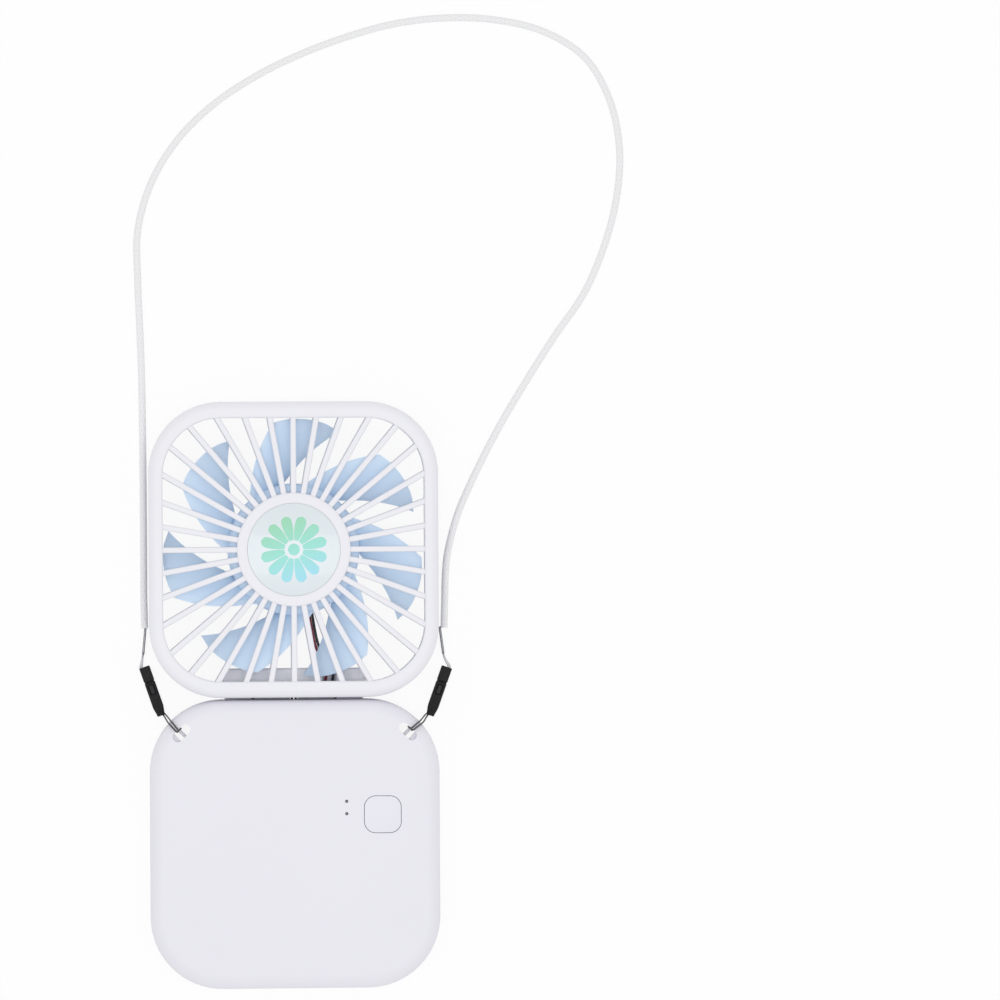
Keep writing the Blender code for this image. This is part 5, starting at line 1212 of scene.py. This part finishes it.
turns.rings_direction = "Z"
# Painted shade and light: each turn of wire is darker towards its grooves and lighter along its crown.
tinted(tree, shader, turns.outputs["Fac"], paint(150, 78, 44), paint(214, 134, 84))
embossed(tree, shader, turns.outputs["Fac"], wire_turn_depth)
fitted(bonded_magnet, "rotor_magnet", "charge_chip", "boost_coil", "tact_switch")
fitted(stacked_steel, "stator_core")
fitted(wound_copper, "stator_winding")

# Electronics and battery: green boards with a solder mask, black cases, a steel charging socket,
# and a flat pouch cell in crimped foil on a strip of foam tape.

track_height, crease_depth = 0.00002, 0.0001
solder_mask, tree, shader = new_finish("solder_mask", roughness=0.35)
mask_colours = {"Color1": paint(24, 92, 58), "Color2": paint(28, 100, 62), "Mortar": paint(46, 124, 80)}
tracks = texture(tree, "ShaderNodeTexBrick", {"Scale": 260, "Mortar Size": 0.03, **mask_colours})
tree.links.new(tracks.outputs["Color"], shader.inputs["Base Color"])
embossed(tree, shader, tracks.outputs["Fac"], track_height)
pouch_foil, tree, shader = new_finish("pouch_foil", roughness=0.35, metallic=1)
crease_bumps_and_shade = speckle(tree, 160, 6)
# Painted shade: the foil is darker in its creases and lighter on its flats, following the crease bumps.
tinted(tree, shader, crease_bumps_and_shade, paint(150, 154, 162), paint(206, 210, 216))
embossed(tree, shader, crease_bumps_and_shade, crease_depth)
foam_black = moulded("foam_black", paint(44, 44, 46), 0.9, grain_depth=0.00006, shade=0.7)
lens_clear = moulded("lens_clear", paint(214, 218, 224), 0.2, grain_depth=0.000002, shade=0.95)
fitted(solder_mask, "circuit_board", "motor_board")
fitted(plated_steel, "usb_socket")
fitted(black_nylon, "usb_contacts", "switch_plunger")
fitted(pouch_foil, "battery_cell")
fitted(foam_black, "cell_pad")
fitted(lens_clear, "status_light_upper", "status_light_lower")

# Table, backdrop and light: a seamless white sweep under a long soft box, with a white room round it.
# The sweep shows as clean white to the lens and still keeps a soft shadow under the fan.

sweep_half, sweep_height = 3.0, -0.00002
sweep_grey, sweep_glow = 0.95, 0.9
room_light = 0.78
soft_box_size, soft_box_energy = (1.2, 0.3), 5
soft_box_place = (-0.05, 0, 1.6)
sweep_build = bmesh.new()
corner_signs = ((-1, -1), (1, -1), (1, 1), (-1, 1))
corners = [(sx * sweep_half, sy * sweep_half, sweep_height) for sx, sy in corner_signs]
sweep_build.faces.new([sweep_build.verts.new(corner) for corner in corners])
sweep_mesh = bpy.data.meshes.new("white_sweep")
sweep_build.to_mesh(sweep_mesh)
sweep_build.free()
sweep = bpy.data.objects.new("white_sweep", sweep_mesh)
bpy.context.scene.collection.objects.link(sweep)
sweep_white, tree, shader = new_finish("sweep_white", roughness=0.9)
shader.inputs["Base Color"].default_value = (sweep_grey, sweep_grey, sweep_grey, 1)
rays = tree.nodes.new("ShaderNodeLightPath").outputs
mirrored = calc(tree, "MAXIMUM", rays["Is Glossy Ray"], rays["Is Transmission Ray"])
seen = calc(tree, "MAXIMUM", rays["Is Camera Ray"], mirrored)
glow = tree.nodes.new("ShaderNodeEmission")
glow.inputs["Color"].default_value = (1, 1, 1, 1)
glow.inputs["Strength"].default_value = 1
blend = tree.nodes.new("ShaderNodeMixShader")
tree.links.new(calc(tree, "MULTIPLY", seen, sweep_glow), blend.inputs[0])
tree.links.new(shader.outputs[0], blend.inputs[1])
tree.links.new(glow.outputs[0], blend.inputs[2])
tree.links.new(blend.outputs[0], tree.nodes["Material Output"].inputs["Surface"])
sweep_mesh.materials.append(sweep_white)

room = bpy.data.worlds.new("white_room")
room.use_nodes = True
bpy.context.scene.world = room
tree = room.node_tree
lit_white, seen_white = tree.nodes["Background"], tree.nodes.new("ShaderNodeBackground")
for background, strength in ((lit_white, room_light), (seen_white, 1)):
    background.inputs["Color"].default_value = (1, 1, 1, 1)
    background.inputs["Strength"].default_value = strength
rays = tree.nodes.new("ShaderNodeLightPath").outputs
pick = tree.nodes.new("ShaderNodeMixShader")
tree.links.new(rays["Is Camera Ray"], pick.inputs[0])
tree.links.new(lit_white.outputs[0], pick.inputs[1])
tree.links.new(seen_white.outputs[0], pick.inputs[2])
tree.links.new(pick.outputs[0], tree.nodes["World Output"].inputs["Surface"])

soft_box = bpy.data.objects.new("soft_box", bpy.data.lights.new("soft_box", "AREA"))
soft_box.data.shape = "RECTANGLE"
soft_box.data.size, soft_box.data.size_y = soft_box_size
soft_box.data.energy = soft_box_energy
soft_box.location = soft_box_place
bpy.context.scene.collection.objects.link(soft_box)

bpy.context.scene.view_settings.view_transform = "Standard"
